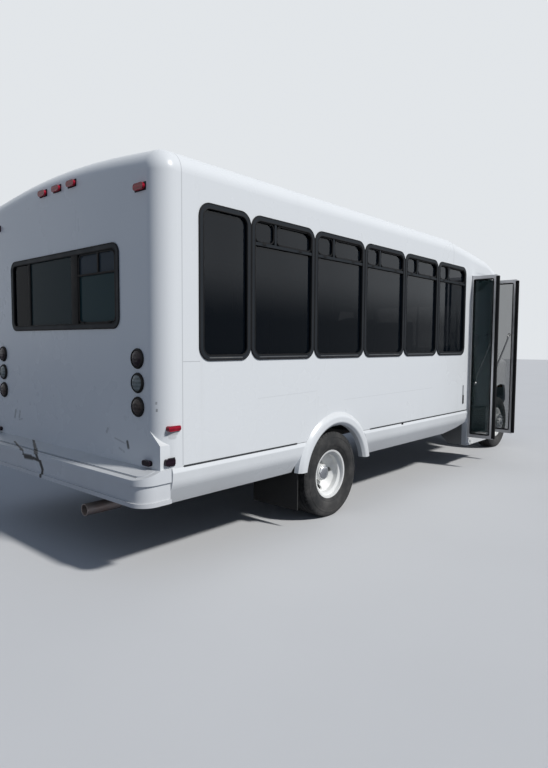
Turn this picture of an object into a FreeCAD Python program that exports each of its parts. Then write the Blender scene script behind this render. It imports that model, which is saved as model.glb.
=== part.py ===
import FreeCAD, Part
import math
import os

import Sketcher

# Cutaway shuttle minibus, millimetres. +X points forward, +Y to the driver's side, +Z up.
# The origin lies on the ground, below the middle of the bus's length and width.

# Columns: name in the sheet, size.
SIZES = (
    # Layout along the bus
    ("rear_bumper_reach", 150),
    ("rear_overhang", 1865),
    ("wheelbase", 4470),
    ("front_overhang", 770),
    # Body section
    ("half_width", 1220),
    ("wall", 40),
    ("side_bottom", 715),
    ("wall_top", 2500),
    ("eaves", 2700),
    ("roof_peak", 2820),
    ("shoulder_round", 150),
    ("crown_round", 8000),
    ("floor_bottom", 690),
    ("floor_thick", 70),
    # Rear cap
    ("cap_depth", 171),
    ("cap_round", 130),
    ("cap_bottom", 711.3),
    ("corner_low", 863),
    ("corner_high", 974),
    # Front cap, above the cab
    ("slope_start", 4127),
    ("cap_front_fall", 70),
    ("brow_width", 905),
    ("brow_eaves", 2275),
    ("brow_peak", 2325),
    ("brow_foot", 2380),
    ("brow_foot_front", 2200),
    ("cap_skin", 30),
    # Side windows
    ("band_low", 1388),
    ("band_high", 2417),
    ("band_start", 306),
    ("first_window", 486),
    ("window_pitch", 736),
    ("frame_gap", 2),
    ("frame_corner", 95),
    ("frame_land", 20),
    ("frame_proud", 8),
    ("frame_rim", 14),
    ("vent_line", 2205),
    ("vent_bar", 22),
    ("glass", 5),
    # Rear window
    ("rear_window_half", 789),
    ("rear_window_low", 1597),
    ("rear_window_high", 2166),
    ("rear_window_corner", 75),
    # Passenger entry
    ("entry_start", 4652),
    ("entry_width", 718),
    ("entry_top", 2345),
    ("entry_post", 40),
    ("entry_depth", 60),
    ("step_bottom", 345),
    ("apron_bottom", 272),
    ("step_sheet", 15),
    ("step_depth", 255),
    ("leaf_width", 346),
    ("leaf_thick", 35),
    ("leaf_low", 373),
    ("leaf_high", 2337),
    ("pivot_inset", 19.5),
    ("pivot_edge", 10),
    ("pivot_radius", 6),
    ("leaf_stile", 42),
    ("leaf_edge", 22),
    # Skirts and arches
    ("skirt_bottom", 470),
    ("skirt_tuck", 70),
    ("skirt_thick", 30),
    ("arch_height", 390),
    ("rear_arch_inner", 420),
    ("rear_arch_outer", 530),
    ("arch_proud", 30),
    ("front_arch", 480),
    ("front_arch_height", 455),
    # Chassis
    ("rail_low", 520),
    ("rail_centre", 430),
    ("rail_flange", 60),
    ("rail_sheet", 8),
    # Wheels
    ("tyre_radius", 372),
    ("tyre_width", 225),
    ("bead_radius", 204),
    ("dual_spacing", 265),
    ("rear_outer_face", 1190),
    ("front_track_half", 862),
    ("kingpin_half", 730),
    ("spindle_radius", 25),
    ("spindle_fit", 0.3),
    # Cab
    ("cab_length", 1555),
    ("cab_half", 1000),
    ("cab_top_half", 925),
    ("cab_bottom", 600),
    ("belt", 1350),
    ("cab_top", 2170),
    ("cowl_back", 97),
    ("toe_back", 477),
    ("header_back", 570),
    ("cowl_height", 1400),
    ("cab_skin", 40),
    ("door_start", 1500),
    ("door_length", 1040),
    ("door_low", 655),
    ("door_high", 2090),
    ("door_gap", 6),
    # Hood and front
    ("hood_half", 775),
    ("hood_sheet", 22),
    ("hood_clear", 24),
    ("hood_length", 680),
    ("hinge_radius", 6),
    ("hinge_drop", 26),
    ("nose_top", 1240),
    ("nose_half", 850),
    ("fascia_low", 712),
    ("fascia_high", 1172),
    ("lamp_inner", 470),
    ("lamp_outer", 800),
    # Bumpers
    ("bumper_low", 490),
    ("bumper_high", 711),
    ("bumper_lip", 660),
    ("bumper_skin", 28),
    ("bumper_round", 120),
    ("rear_bumper_wrap", 230),
    ("front_bumper_wrap", 330),
    ("front_bumper_half", 800),
    ("front_bumper_flare", 100),
    # Pipes and shafts
    ("exhaust_radius", 32),
    ("tail_radius", 42),
    ("shaft_radius", 38),
)


class Dim:
    """A size that keeps its number together with the sheet expression it comes from."""

    def __init__(self, value, text):
        self.value = float(value)
        self.text = text

    def __float__(self):
        return self.value

    def __add__(self, other):
        other = dim(other)
        return Dim(self.value + other.value, f"({self.text} + {other.text})")

    def __radd__(self, other):
        return dim(other) + self

    def __sub__(self, other):
        other = dim(other)
        return Dim(self.value - other.value, f"({self.text} - {other.text})")

    def __rsub__(self, other):
        return dim(other) - self

    def __mul__(self, other):
        other = dim(other)
        return Dim(self.value * other.value, f"({self.text} * {other.text})")

    def __rmul__(self, other):
        return dim(other) * self

    def __truediv__(self, other):
        other = dim(other)
        return Dim(self.value / other.value, f"({self.text} / {other.text})")

    def __neg__(self):
        return 0 - self


def dim(value):
    """A Dim as it is, or a plain number as one."""
    if isinstance(value, Dim):
        return value
    return Dim(value, f"({value})")


doc = FreeCAD.newDocument("ShuttleMinibus")
sheet = doc.addObject("Spreadsheet::Sheet", "Sizes")
for row, (alias, size) in enumerate(SIZES, start=1):
    sheet.set(f"A{row}", alias)
    sheet.set(f"B{row}", str(size))
    sheet.setAlias(f"B{row}", alias)
doc.recompute()


class Sheet:
    """The driving sizes, each read by its name in the sheet."""

    def __getattr__(self, alias):
        return Dim(sheet.get(alias), f"Sizes.{alias}")


S = Sheet()
NODES = {}


# Helpers for sketches and solids

def bind(thing, target, size):
    """Ties one property to the sheet."""
    thing.setExpression(target, dim(size).text)


def keep(name, thing):
    """Gives a finished piece its own label, which also names its file."""
    thing.Label = name
    NODES[name] = thing
    return thing


def corner_arc(before, corner, after, radius):
    """Ends and centre of the arc that rounds a corner, and whether the outline turns left there."""
    away = (corner - before).normalize()
    onward = (after - corner).normalize()
    turn = away.x * onward.y - away.y * onward.x
    angle = math.acos(max(-1.0, min(1.0, away.dot(onward))))
    reach = radius * math.tan(angle / 2)
    start = corner - away * reach
    end = corner + onward * reach
    left = turn > 0
    side = FreeCAD.Vector(-away.y, away.x, 0) if left else FreeCAD.Vector(away.y, -away.x, 0)
    return start, end, start + side * radius, left


def draw(sketch, corners):
    """Adds a closed outline through corners (x, y) or (x, y, radius), tied to the sheet."""
    corners = [tuple(corner) + (0,) * (3 - len(corner)) for corner in corners]
    points = [FreeCAD.Vector(float(x), float(y), 0) for x, y, _ in corners]
    count = len(points)
    arcs = {}
    starts = list(points)
    ends = list(points)
    for i, corner in enumerate(corners):
        if float(corner[2]) > 0:
            arcs[i] = corner_arc(points[i - 1], points[i], points[(i + 1) % count], float(corner[2]))
            ends[i], starts[i] = arcs[i][0], arcs[i][1]
    lines = []
    for i in range(count):
        segment = Part.LineSegment(starts[i], ends[(i + 1) % count])
        lines.append(sketch.addGeometry(segment, False))
    for i, (x, y, radius) in enumerate(corners):
        if i in arcs:
            start, end, centre, left = arcs[i]
            first, second = (start, end) if left else (end, start)
            low = math.atan2(first.y - centre.y, first.x - centre.x)
            high = math.atan2(second.y - centre.y, second.x - centre.x)
            circle = Part.Circle(centre, FreeCAD.Vector(0, 0, 1), float(radius))
            arc = sketch.addGeometry(Part.ArcOfCircle(circle, low, high), False)
            mark = sketch.addGeometry(Part.Point(points[i]), True)
            enter, leave = (1, 2) if left else (2, 1)
            sketch.addConstraint(Sketcher.Constraint("Tangent", lines[i - 1], 2, arc, enter))
            sketch.addConstraint(Sketcher.Constraint("Tangent", arc, leave, lines[i], 1))
            sketch.addConstraint(Sketcher.Constraint("PointOnObject", mark, 1, lines[i - 1]))
            sketch.addConstraint(Sketcher.Constraint("PointOnObject", mark, 1, lines[i]))
            fixed = sketch.addConstraint(Sketcher.Constraint("Radius", arc, float(radius)))
            bind(sketch, f"Constraints[{fixed}]", radius)
            held = (mark, 1)
        else:
            sketch.addConstraint(Sketcher.Constraint("Coincident", lines[i - 1], 2, lines[i], 1))
            held = (lines[i], 1)
        for way, size in (("DistanceX", x), ("DistanceY", y)):
            fixed = sketch.addConstraint(Sketcher.Constraint(way, held[0], held[1], float(size)))
            bind(sketch, f"Constraints[{fixed}]", size)


def new_body(name):
    return doc.addObject("PartDesign::Body", name)


def sketch_in(body, role, offset, outlines):
    """A sketch on one of the body's own planes, moved along the plane's normal."""
    plane = next(f for f in body.Origin.OriginFeatures if f.Role == role)
    sketch = body.newObject("Sketcher::SketchObject", body.Name + "_outline")
    sketch.AttachmentSupport = [(plane, "")]
    sketch.MapMode = "FlatFace"
    bind(sketch, "AttachmentOffset.Base.z", offset)
    for outline in outlines:
        draw(sketch, outline)
    return sketch


def plate(name, way, span, *outlines):
    """A pad across X, Y or Z over a span; outlines after the first are holes.
    The sketch axes are (y, z) across X, (x, z) across Y and (x, y) across Z."""
    body = new_body(name)
    low, high = span
    if way == "x":
        sketch = sketch_in(body, "YZ_Plane", low, outlines)
    elif way == "y":
        sketch = sketch_in(body, "XZ_Plane", -dim(high), outlines)
    else:
        sketch = sketch_in(body, "XY_Plane", low, outlines)
    pad = body.newObject("PartDesign::Pad", name + "_pad")
    pad.Profile = sketch
    bind(pad, "Length", dim(high) - low)
    body.Tip = pad
    return body


def loft(name, sections, ruled=False):
    """A loft along X through sections (x, outline) that all have the same corners."""
    body = new_body(name)
    sketches = [sketch_in(body, "YZ_Plane", x, [outline]) for x, outline in sections]
    skin = body.newObject("PartDesign::AdditiveLoft", name + "_loft")
    skin.Profile = sketches[0]
    skin.Sections = [(sketch, [""]) for sketch in sketches[1:]]
    skin.Ruled = ruled
    body.Tip = skin
    return body


def turned(name, outline):
    """A body turned about the Y axis from an outline of (radius, y)."""
    body = new_body(name)
    sketch = sketch_in(body, "XY_Plane", 0, [outline])
    spin = body.newObject("PartDesign::Revolution", name + "_turn")
    spin.Profile = sketch
    spin.ReferenceAxis = (sketch, ["V_Axis"])
    spin.Angle = 360
    body.Tip = spin
    return body


def place(thing, x=0, y=0, z=0):
    for letter, size in (("x", x), ("y", y), ("z", z)):
        bind(thing, "Placement.Base." + letter, size)
    return thing


def moved(name, source, x=0, y=0, z=0):
    """A copy of a piece at another place, which follows the first one's shape."""
    copy = doc.addObject("Part::Compound", name)
    copy.Links = [source]
    return place(copy, x, y, z)


def box(name, x, y, z):
    """A block over three spans (low, high)."""
    solid = doc.addObject("Part::Box", name)
    for side, letter, (low, high) in (("Length", "x", x), ("Width", "y", y), ("Height", "z", z)):
        bind(solid, side, dim(high) - low)
        bind(solid, "Placement.Base." + letter, low)
    return solid


TURNS = {
    "x": FreeCAD.Rotation(FreeCAD.Vector(0, 1, 0), 90),
    "y": FreeCAD.Rotation(FreeCAD.Vector(1, 0, 0), -90),
    "z": FreeCAD.Rotation(),
}


def rod(name, way, radius, span, first, second):
    """A cylinder along X, Y or Z over a span, at the two other coordinates in X, Y, Z order."""
    solid = doc.addObject("Part::Cylinder", name)
    low, high = span
    solid.Placement = FreeCAD.Placement(FreeCAD.Vector(), TURNS[way])
    bind(solid, "Radius", radius)
    bind(solid, "Height", dim(high) - low)
    at = {"x": (low, first, second), "y": (first, low, second), "z": (first, second, low)}[way]
    return place(solid, *at)


def fuse(name, *parts):
    joined = doc.addObject("Part::MultiFuse", name)
    joined.Shapes = list(parts)
    return joined


def group(name, *parts):
    """Several solids that don't touch, as one piece."""
    together = doc.addObject("Part::Compound", name)
    together.Links = list(parts)
    return together


def cut(name, base, *tools):
    result = doc.addObject("Part::Cut", name)
    result.Base = base
    result.Tool = tools[0] if len(tools) == 1 else fuse(name + "_tools", *tools)
    return result


def common(name, first, second):
    result = doc.addObject("Part::Common", name)
    result.Base = first
    result.Tool = second
    return result


def mirrored(name, source):
    """The same piece on the other side of the bus."""
    other = doc.addObject("Part::Mirroring", name)
    other.Source = source
    other.Normal = FreeCAD.Vector(0, 1, 0)
    return other


def both(name, source):
    return group(name, source, mirrored(name + "_other", source))


def bent_tube(name, radius, points):
    """A round tube through points, as a Part::Feature made of rods with ball-shaped elbows."""
    corners = [FreeCAD.Vector(*[float(size) for size in point]) for point in points]
    pieces = []
    for start, end in zip(corners, corners[1:]):
        run = end - start
        pieces.append(Part.makeCylinder(float(radius), run.Length, start, run))
    for corner in corners[1:-1]:
        pieces.append(Part.makeSphere(float(radius), corner))
    feature = doc.addObject("Part::Feature", name)
    shape = pieces[0] if len(pieces) == 1 else pieces[0].multiFuse(pieces[1:])
    feature.Shape = shape.removeSplitter()
    return feature


def rectangle(x, y, radius=0):
    """Corners of a rectangle over two spans, anticlockwise."""
    (left, right), (low, high) = x, y
    return [(left, low, radius), (right, low, radius), (right, high, radius), (left, high, radius)]


def inset(span, amount):
    return (span[0] + amount, span[1] - amount)


# Stations along the bus

length = S.rear_bumper_reach + S.rear_overhang + S.wheelbase + S.front_overhang
rear_end = -length / 2
front_end = length / 2
rear_wall = rear_end + S.rear_bumper_reach
rear_axle = rear_wall + S.rear_overhang
front_axle = rear_axle + S.wheelbase
cap_seam = rear_wall + S.cap_depth
entry_rear = rear_wall + S.entry_start
entry_front = entry_rear + S.entry_width
entry_frame_rear = entry_rear - S.entry_post
entry_frame_front = entry_front + S.entry_post
slope_start = rear_wall + S.slope_start
cab_back = front_axle - S.cab_length
cowl = front_axle - S.cowl_back
header = front_axle - S.header_back
pivot_y = -S.half_width + S.pivot_edge
hood_hinge = (cowl + S.hood_clear + 8, S.cowl_height + 5 - S.hinge_drop)
toe_board = front_axle - S.toe_back
door_rear = front_axle - S.door_start
door_front = door_rear + S.door_length
door_hinge = (door_front - 3, S.cab_half + 9)
floor_top = S.floor_bottom + S.floor_thick
inner_half = S.half_width - S.wall
WINDOWS = 6


def window_spans():
    """The (rear, front) edges of each side window's frame."""
    start = rear_wall + S.band_start
    edges = [start, start + S.first_window]
    for count in range(1, WINDOWS):
        edges.append(start + S.first_window + count * S.window_pitch)
    return [(a + S.frame_gap, b - S.frame_gap) for a, b in zip(edges, edges[1:])]


# Body shell

def arch_outline(bottom, inward):
    """The body section from one wall over the roof to the other, drawn in by a skin."""
    half = S.half_width - inward
    return [
        (half, bottom),
        (half, S.eaves - inward, S.shoulder_round - inward),
        (0, S.roof_peak - inward, S.crown_round),
        (-half, S.eaves - inward, S.shoulder_round - inward),
        (-half, bottom),
    ]


def rounded_cap(name, start, bottom, inward, end):
    """The body section as a block whose rear edges are rounded."""
    body = plate(name, "x", (start, end), arch_outline(bottom, inward))
    doc.recompute()
    pad = body.Tip
    rear_edges = []
    for number, edge in enumerate(pad.Shape.Edges, start=1):
        xs = [vertex.X for vertex in edge.Vertexes]
        at_rear = max(abs(x - float(start)) for x in xs) < 0.01
        if at_rear and edge.BoundBox.ZMax > float(bottom) + 1:
            rear_edges.append(f"Edge{number}")
    rounding = body.newObject("PartDesign::Fillet", name + "_rounding")
    rounding.Base = (pad, rear_edges)
    bind(rounding, "Radius", S.cap_round - inward)
    body.Tip = rounding
    return body


def rear_cap():
    outer = rounded_cap("cap_outer", rear_wall, S.cap_bottom, dim(0), cap_seam)
    inner = rounded_cap("cap_inner", rear_wall + S.wall, S.cap_bottom - 20, S.wall, cap_seam + 1)
    corner_in = S.half_width - S.cap_round - 15
    corner = plate("cap_corner", "x", (rear_wall, rear_wall + S.cap_round + 20), [
        (corner_in, S.cap_bottom),
        (S.half_width - 12, S.cap_bottom),
        (S.half_width - 12, S.corner_low),
        (corner_in, S.corner_high),
    ])
    corners = both("cap_corners", corner)
    opening = plate("cap_window", "x", (rear_wall - 5, rear_wall + S.wall + 5), rectangle(
        (-S.rear_window_half + S.frame_land, S.rear_window_half - S.frame_land),
        (S.rear_window_low + S.frame_land, S.rear_window_high - S.frame_land),
        S.rear_window_corner - S.frame_land))
    bolts = plate_bolts("plate_bolt", (rear_wall - 5, rear_wall + S.wall + 5), REAR_PLATE)
    solid = fuse("cap_solid", outer, corners)
    return keep("rear_cap", cut("rear_cap_shell", solid, inner, opening, *bolts))


PLATE_HOLE = 3.5
PLATE_ACROSS = 177.8
PLATE_UP = 120.65
REAR_PLATE = (750, 905)
FRONT_PLATE = (0, 600)


def plate_bolts(name, span, centre):
    """Rods for the four holes of a licence plate, round a centre (y, z)."""
    y, z = centre
    return [
        rod(f"{name}_{i}_{j}", "x", PLATE_HOLE, span, y + i * PLATE_ACROSS / 2, z + j * PLATE_UP / 2)
        for i in (-1, 1) for j in (-1, 1)
    ]


def roof():
    outer = arch_outline(S.wall_top, dim(0))
    inner = arch_outline(S.wall_top, S.wall)
    return keep("roof", plate("roof_panel", "x", (cap_seam, slope_start), outer + inner[::-1]))


def slope_outline(fall, inward, bottom):
    """The body section with its roof let down by a fall, closed at the bottom."""
    half = S.half_width - inward
    return [
        (half, bottom),
        (half, S.eaves - fall - inward, S.shoulder_round - inward),
        (0, S.roof_peak - fall - inward, S.crown_round),
        (-half, S.eaves - fall - inward, S.shoulder_round - inward),
        (-half, bottom),
    ]


def brow_outline(half, eaves, peak, flare, foot, foot_half, shoulder):
    """A section of the cap over the cab, which narrows to the cab's own width at its foot."""
    return [
        (foot_half, foot),
        (half, flare, 30),
        (half, eaves, shoulder),
        (0, peak, 6000),
        (-half, eaves, shoulder),
        (-half, flare, 30),
        (-foot_half, foot),
    ]


BROW_SHARES = (0, 0.35, 0.6, 0.78, 0.91, 1)
BROW_SQUARE = 0.6


def front_cap():
    """The moulded cap over the cab: a sloping piece of roof, then a brow that narrows to the cab."""
    fall = S.cap_front_fall
    skin = S.wall

    def slope(name, inward, bottom, stretch):
        return loft(name, [
            (slope_start - stretch, slope_outline(dim(0), inward, bottom)),
            (cab_back + stretch, slope_outline(fall, inward, bottom)),
        ], ruled=True)

    def brow(name, inward, foot_drop, stretch):
        reach = header + 45 - cab_back
        sections = []
        for share in BROW_SHARES:
            down = share ** 1.8
            narrow = max(0.0, (share - BROW_SQUARE) / (1 - BROW_SQUARE))
            half = S.half_width - (S.half_width - S.brow_width) * narrow ** 1.7
            eaves = S.eaves - fall - (S.eaves - fall - S.brow_eaves) * down
            peak = S.roof_peak - fall - (S.roof_peak - fall - S.brow_peak) * down
            flare = S.brow_foot - (S.brow_foot - S.brow_foot_front) * narrow ** 1.2
            foot_half = S.cab_top_half + 25 - inward - 60 * share * share
            at = cab_back + reach * share
            if share == 1:
                at = at - inward
            elif share == 0:
                at = at - stretch
            shoulder = S.shoulder_round * (1 - 0.7 * down ** 0.7) - inward
            sections.append((at, brow_outline(half - inward, eaves - inward, peak - inward, flare,
                                              S.cab_top - foot_drop, foot_half, shoulder)))
        return loft(name, sections, ruled=True)

    slope_shell = cut("slope_shell", slope("slope_outer", dim(0), S.brow_foot, dim(0)),
                      slope("slope_inner", skin, S.brow_foot - 10, dim(1)),
                      box("wall_room_left", (slope_start - 5, cab_back - S.wall),
                          (0, S.half_width + 5), (S.brow_foot - 5, S.wall_top)),
                      box("wall_room_right", (slope_start - 5, entry_frame_rear),
                          (-S.half_width - 5, 0), (S.brow_foot - 5, S.wall_top)))
    brow_shell = cut("brow_shell", brow("brow_outer", dim(0), dim(0), dim(0)),
                     brow("brow_inner", S.cap_skin, dim(8), dim(1)),
                     box("entry_room", (cab_back - 5, entry_frame_front + S.wall),
                         (-S.half_width - 10, -S.cab_top_half - 30), (2100, S.brow_foot)))
    return keep("front_cap", fuse("front_cap_shell", slope_shell, brow_shell))


def side_wall(name, side, start, end):
    """One wall panel with its window openings; side is 1 on the driver's side and -1 on the other."""
    across = sorted([side * S.half_width, side * inner_half], key=float)
    openings = [
        rectangle(inset(span, S.frame_land), (S.band_low + S.frame_land, S.band_high - S.frame_land),
                  S.frame_corner - S.frame_land)
        for span in window_spans()
    ]
    panel = plate(name + "_panel", "y", across,
                  rectangle((start, end), (S.side_bottom, S.wall_top)), *openings)
    arch = rod(name + "_arch", "y", S.rear_arch_outer, (across[0] - 5, across[1] + 5),
               rear_axle, S.arch_height)
    return keep(name, cut(name + "_cut", panel, arch))


def shoulder_panels():
    """The forward-facing panels where the wide body meets the cab."""
    left = plate("shoulder_left", "x", (cab_back - S.wall, cab_back), [
        (S.cab_half + 1, S.skirt_bottom + 130),
        (S.half_width, S.skirt_bottom + 130),
        (S.half_width, S.brow_foot),
        (S.cab_top_half + 30, S.cab_top + 6),
        (S.cab_top_half + 1, S.cab_top),
        (S.cab_half + 1, S.belt),
    ])
    right = plate("shoulder_right", "x", (entry_frame_front, entry_frame_front + S.wall), [
        (-S.half_width, S.apron_bottom),
        (-S.cab_half - 1, S.apron_bottom),
        (-S.cab_half - 1, S.belt),
        (-S.cab_top_half - 1, S.cab_top),
        (-S.cab_top_half - 30, S.cab_top + 6),
        (-S.half_width, S.brow_foot),
    ])
    return keep("shoulder_panels", group("shoulder_pair", left, right))


def window_frames():
    """Raised black frames with their sleeves and vent bars, both sides."""
    up = (S.band_low, S.band_high)
    pieces = []
    for number, span in enumerate(window_spans()):
        outer = rectangle(span, up, S.frame_corner)
        lip = S.frame_land + S.frame_rim
        inner = rectangle(inset(span, lip), inset(up, lip), S.frame_corner - lip)
        land = rectangle(inset(span, S.frame_land + 0.5), inset(up, S.frame_land + 0.5),
                         S.frame_corner - S.frame_land - 0.5)
        flange = plate(f"frame_flange_{number}", "y",
                       (S.half_width, S.half_width + S.frame_proud), outer, inner)
        sleeve = plate(f"frame_sleeve_{number}", "y", (inner_half, S.half_width), land, inner)
        parts = [flange, sleeve]
        if number > 0:
            third = span[0] + S.window_pitch / 3
            depth = (S.half_width - 8, S.half_width + S.frame_proud - 2)
            parts.append(box(f"vent_rail_{number}", inset(span, lip - 1), depth,
                             (S.vent_line, S.vent_line + S.vent_bar)))
            parts.append(box(f"vent_post_{number}", (third, third + S.vent_bar), depth,
                             (S.vent_line + 1, S.band_high - lip + 1)))
        pieces.append(fuse(f"window_frame_{number}", *parts))
    right = mirrored("window_frames_right", group("window_frames_left", *pieces))
    return keep("window_frames", group("window_frame_set", *pieces, right, rear_window_frame()))


def body_glass():
    lip = S.frame_land + S.frame_rim + 0.3
    up = (S.band_low, S.band_high)
    deep = S.half_width - 12
    panes = [
        plate(f"pane_{number}", "y", (deep - S.glass, deep),
              rectangle(inset(span, lip), inset(up, lip), S.frame_corner - S.frame_land - S.frame_rim))
        for number, span in enumerate(window_spans())
    ]
    right = mirrored("panes_right", group("panes_left", *panes))
    return keep("body_glass", group("body_glass_set", *panes, right, rear_pane()))


def rear_window_frame():
    half = (-S.rear_window_half, S.rear_window_half)
    up = (S.rear_window_low, S.rear_window_high)
    lip = S.frame_land + S.frame_rim
    inner = rectangle(inset(half, lip), inset(up, lip), S.rear_window_corner - lip)
    flange = plate("rear_flange", "x", (rear_wall - S.frame_proud, rear_wall),
                   rectangle(half, up, S.rear_window_corner), inner)
    land = S.frame_land + 0.5
    sleeve = plate("rear_sleeve", "x", (rear_wall, rear_wall + S.wall),
                   rectangle(inset(half, land), inset(up, land), S.rear_window_corner - land), inner)
    return fuse("rear_window_ring", flange, sleeve)


def rear_pane():
    lip = S.frame_land + S.frame_rim
    half = (-S.rear_window_half + lip + 0.3, S.rear_window_half - lip - 0.3)
    up = (S.rear_window_low + lip + 0.3, S.rear_window_high - lip - 0.3)
    return plate("rear_pane", "x", (rear_wall + 6, rear_wall + 6 + S.glass),
                 rectangle(half, up, S.rear_window_corner - lip))


# Floor, entry and chassis

def floor():
    rear = rear_wall + S.wall
    corner = S.cap_round - S.wall + 1
    slab = plate("floor_slab", "z", (S.floor_bottom, floor_top), [
        (rear, -inner_half, corner),
        (entry_frame_rear, -inner_half),
        (entry_frame_rear, -S.half_width + S.entry_depth),
        (entry_rear, -S.half_width + S.entry_depth),
        (entry_rear, -S.half_width + 2 * S.step_depth),
        (entry_front, -S.half_width + 2 * S.step_depth),
        (entry_front, -S.cab_half + S.cab_skin),
        (toe_board, -S.cab_half + S.cab_skin),
        (toe_board, S.cab_half - S.cab_skin),
        (cab_back - S.wall, S.cab_half - S.cab_skin),
        (cab_back - S.wall, inner_half),
        (rear, inner_half, corner),
    ])
    house_x = (rear_axle - 470, rear_axle + 470)
    house_y = (S.rear_outer_face - 520, inner_half)
    well = box("wheel_well", inset(house_x, 12), (house_y[0] + 12, inner_half + 1), (600, 868))
    house = cut("wheel_house", box("wheel_house_block", house_x, house_y, (S.floor_bottom, 880)),
                box("wheel_house_room", inset(house_x, 12), (house_y[0] + 12, inner_half + 1), (600, 868)))
    cleared = cut("floor_cleared", slab, both("wheel_wells", well))
    return keep("floor", fuse("floor_with_houses", cleared, both("wheel_houses", house)))


def step_well():
    """Two steps up from the sill to the floor, folded from sheet, with a cheek at each end."""
    out = -S.half_width + S.entry_depth
    sheet_thick = S.step_sheet
    rise = (floor_top - S.step_bottom - sheet_thick) / 2
    first = S.step_bottom + sheet_thick
    one = -S.half_width + S.step_depth
    two = one + S.step_depth
    tread = plate("step_treads", "x", (entry_rear, entry_front), [
        (out, S.step_bottom),
        (one, S.step_bottom),
        (one, S.step_bottom + rise),
        (two - 0.3, S.step_bottom + rise),
        (two - 0.3, floor_top),
        (two - 0.3 - sheet_thick, floor_top),
        (two - 0.3 - sheet_thick, first + rise),
        (one - sheet_thick, first + rise),
        (one - sheet_thick, first),
        (out, first),
    ])
    cheek = [
        (-S.half_width + S.entry_depth + 0.3, S.apron_bottom),
        (one, S.apron_bottom),
        (two - 0.3, S.step_bottom + rise),
        (two - 0.3, S.floor_bottom - 0.3),
        (-S.half_width + S.entry_depth + 0.3, S.floor_bottom - 0.3),
    ]
    rear = plate("step_cheek_rear", "x", (entry_rear - 8, entry_rear), cheek)
    front = plate("step_cheek_front", "x", (entry_front, entry_front + 8), cheek)
    return keep("step_well", fuse("steps", tread, rear, front))


def entry_frame():
    outer = rectangle((entry_frame_rear, entry_frame_front), (S.apron_bottom, S.brow_foot))
    hole = rectangle((entry_rear, entry_front), (S.step_bottom + S.step_sheet, S.entry_top))
    ring_part = plate("entry_ring", "y", (-S.half_width, -S.half_width + S.entry_depth), outer, hole)
    sockets = [
        rod(f"pivot_socket_{number}", "z", S.pivot_radius + S.spindle_fit,
            (S.leaf_low - 23, S.leaf_high + 19), x, pivot_y)
        for number, x in enumerate((entry_rear + S.pivot_inset, entry_front - S.pivot_inset))
    ]
    return keep("entry_frame", cut("entry_frame_ring", ring_part, *sockets))


def frame_rails():
    """Two channel rails with cross members, spring hangers and bumper brackets."""
    top = S.floor_bottom
    web = S.rail_centre + S.rail_flange / 2
    sheet_thick = S.rail_sheet
    channel = [
        (web, S.rail_low),
        (web, top),
        (web - S.rail_flange, top),
        (web - S.rail_flange, top - sheet_thick),
        (web - sheet_thick, top - sheet_thick),
        (web - sheet_thick, S.rail_low + sheet_thick),
        (web - S.rail_flange, S.rail_low + sheet_thick),
        (web - S.rail_flange, S.rail_low),
    ]
    span = (rear_wall + 40, front_end - 140)
    left = plate("rail_left", "x", span, channel)
    parts = [left, mirrored("rail_right", left)]
    for number, at in enumerate((-3300, -2650, -950, 0, 1000, 2000)):
        parts.append(box(f"cross_member_{number}", (at - 35, at + 35),
                         (-web + sheet_thick / 2, web - sheet_thick / 2), (S.rail_low + 20, top - 20)))
    parts.append(box("engine_member", (front_axle + 120, front_axle + 200), (-web, web),
                     (S.rail_low - 55, S.rail_low)))
    parts.append(box("radiator_member", (front_end - 320, front_end - 220), (-web, web),
                     (S.rail_low, S.rail_low + 40)))
    for end in (-1, 1):
        at = rear_axle + end * 650
        hanger = box(f"hanger_{end}", (at - 45, at + 45), (web - 4, web + 95),
                     (S.rail_low + 25, S.rail_low + 90))
        parts += [hanger, mirrored(f"hanger_{end}_other", hanger)]
    for name, at in (("rear", -2450), ("front", 1500)):
        pad = box(f"jack_pad_{name}", (at - 60, at + 60), (web - 56, web - 4),
                  (S.rail_low - 8, S.rail_low + 1))
        parts += [pad, mirrored(f"jack_pad_{name}_other", pad)]
    for name, x in (("rear", (rear_end + S.bumper_skin, rear_wall + 41)),
                    ("front", (front_end - 141, front_end - S.bumper_skin))):
        bracket = box(f"bumper_bracket_{name}", x, (web - 50, web), (S.rail_low + 20, S.rail_low + 110))
        parts += [bracket, mirrored(f"bumper_bracket_{name}_other", bracket)]
    return keep("frame_rails", fuse("frame", *parts))


def spring_outline(axle, reach, low, end_low, thick):
    return [
        (axle - reach, end_low),
        (axle - 110, low, 500),
        (axle + 110, low, 500),
        (axle + reach, end_low),
        (axle + reach, end_low + thick),
        (axle + 110, low + thick, 500),
        (axle - 110, low + thick, 500),
        (axle - reach, end_low + thick),
    ]


def leaf_springs():
    rear = plate("rear_spring", "y", (490, 550),
                 spring_outline(rear_axle, 650, S.tyre_radius + 70, S.rail_low - 5, 30))
    front = plate("front_spring", "y", (S.rail_centre - 30, S.rail_centre + 30),
                  spring_outline(front_axle, 480, S.tyre_radius + 33, S.rail_low - 30, 30))
    return keep("leaf_springs", group("springs", rear, mirrored("rear_spring_other", rear),
                                      front, mirrored("front_spring_other", front)))


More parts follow.
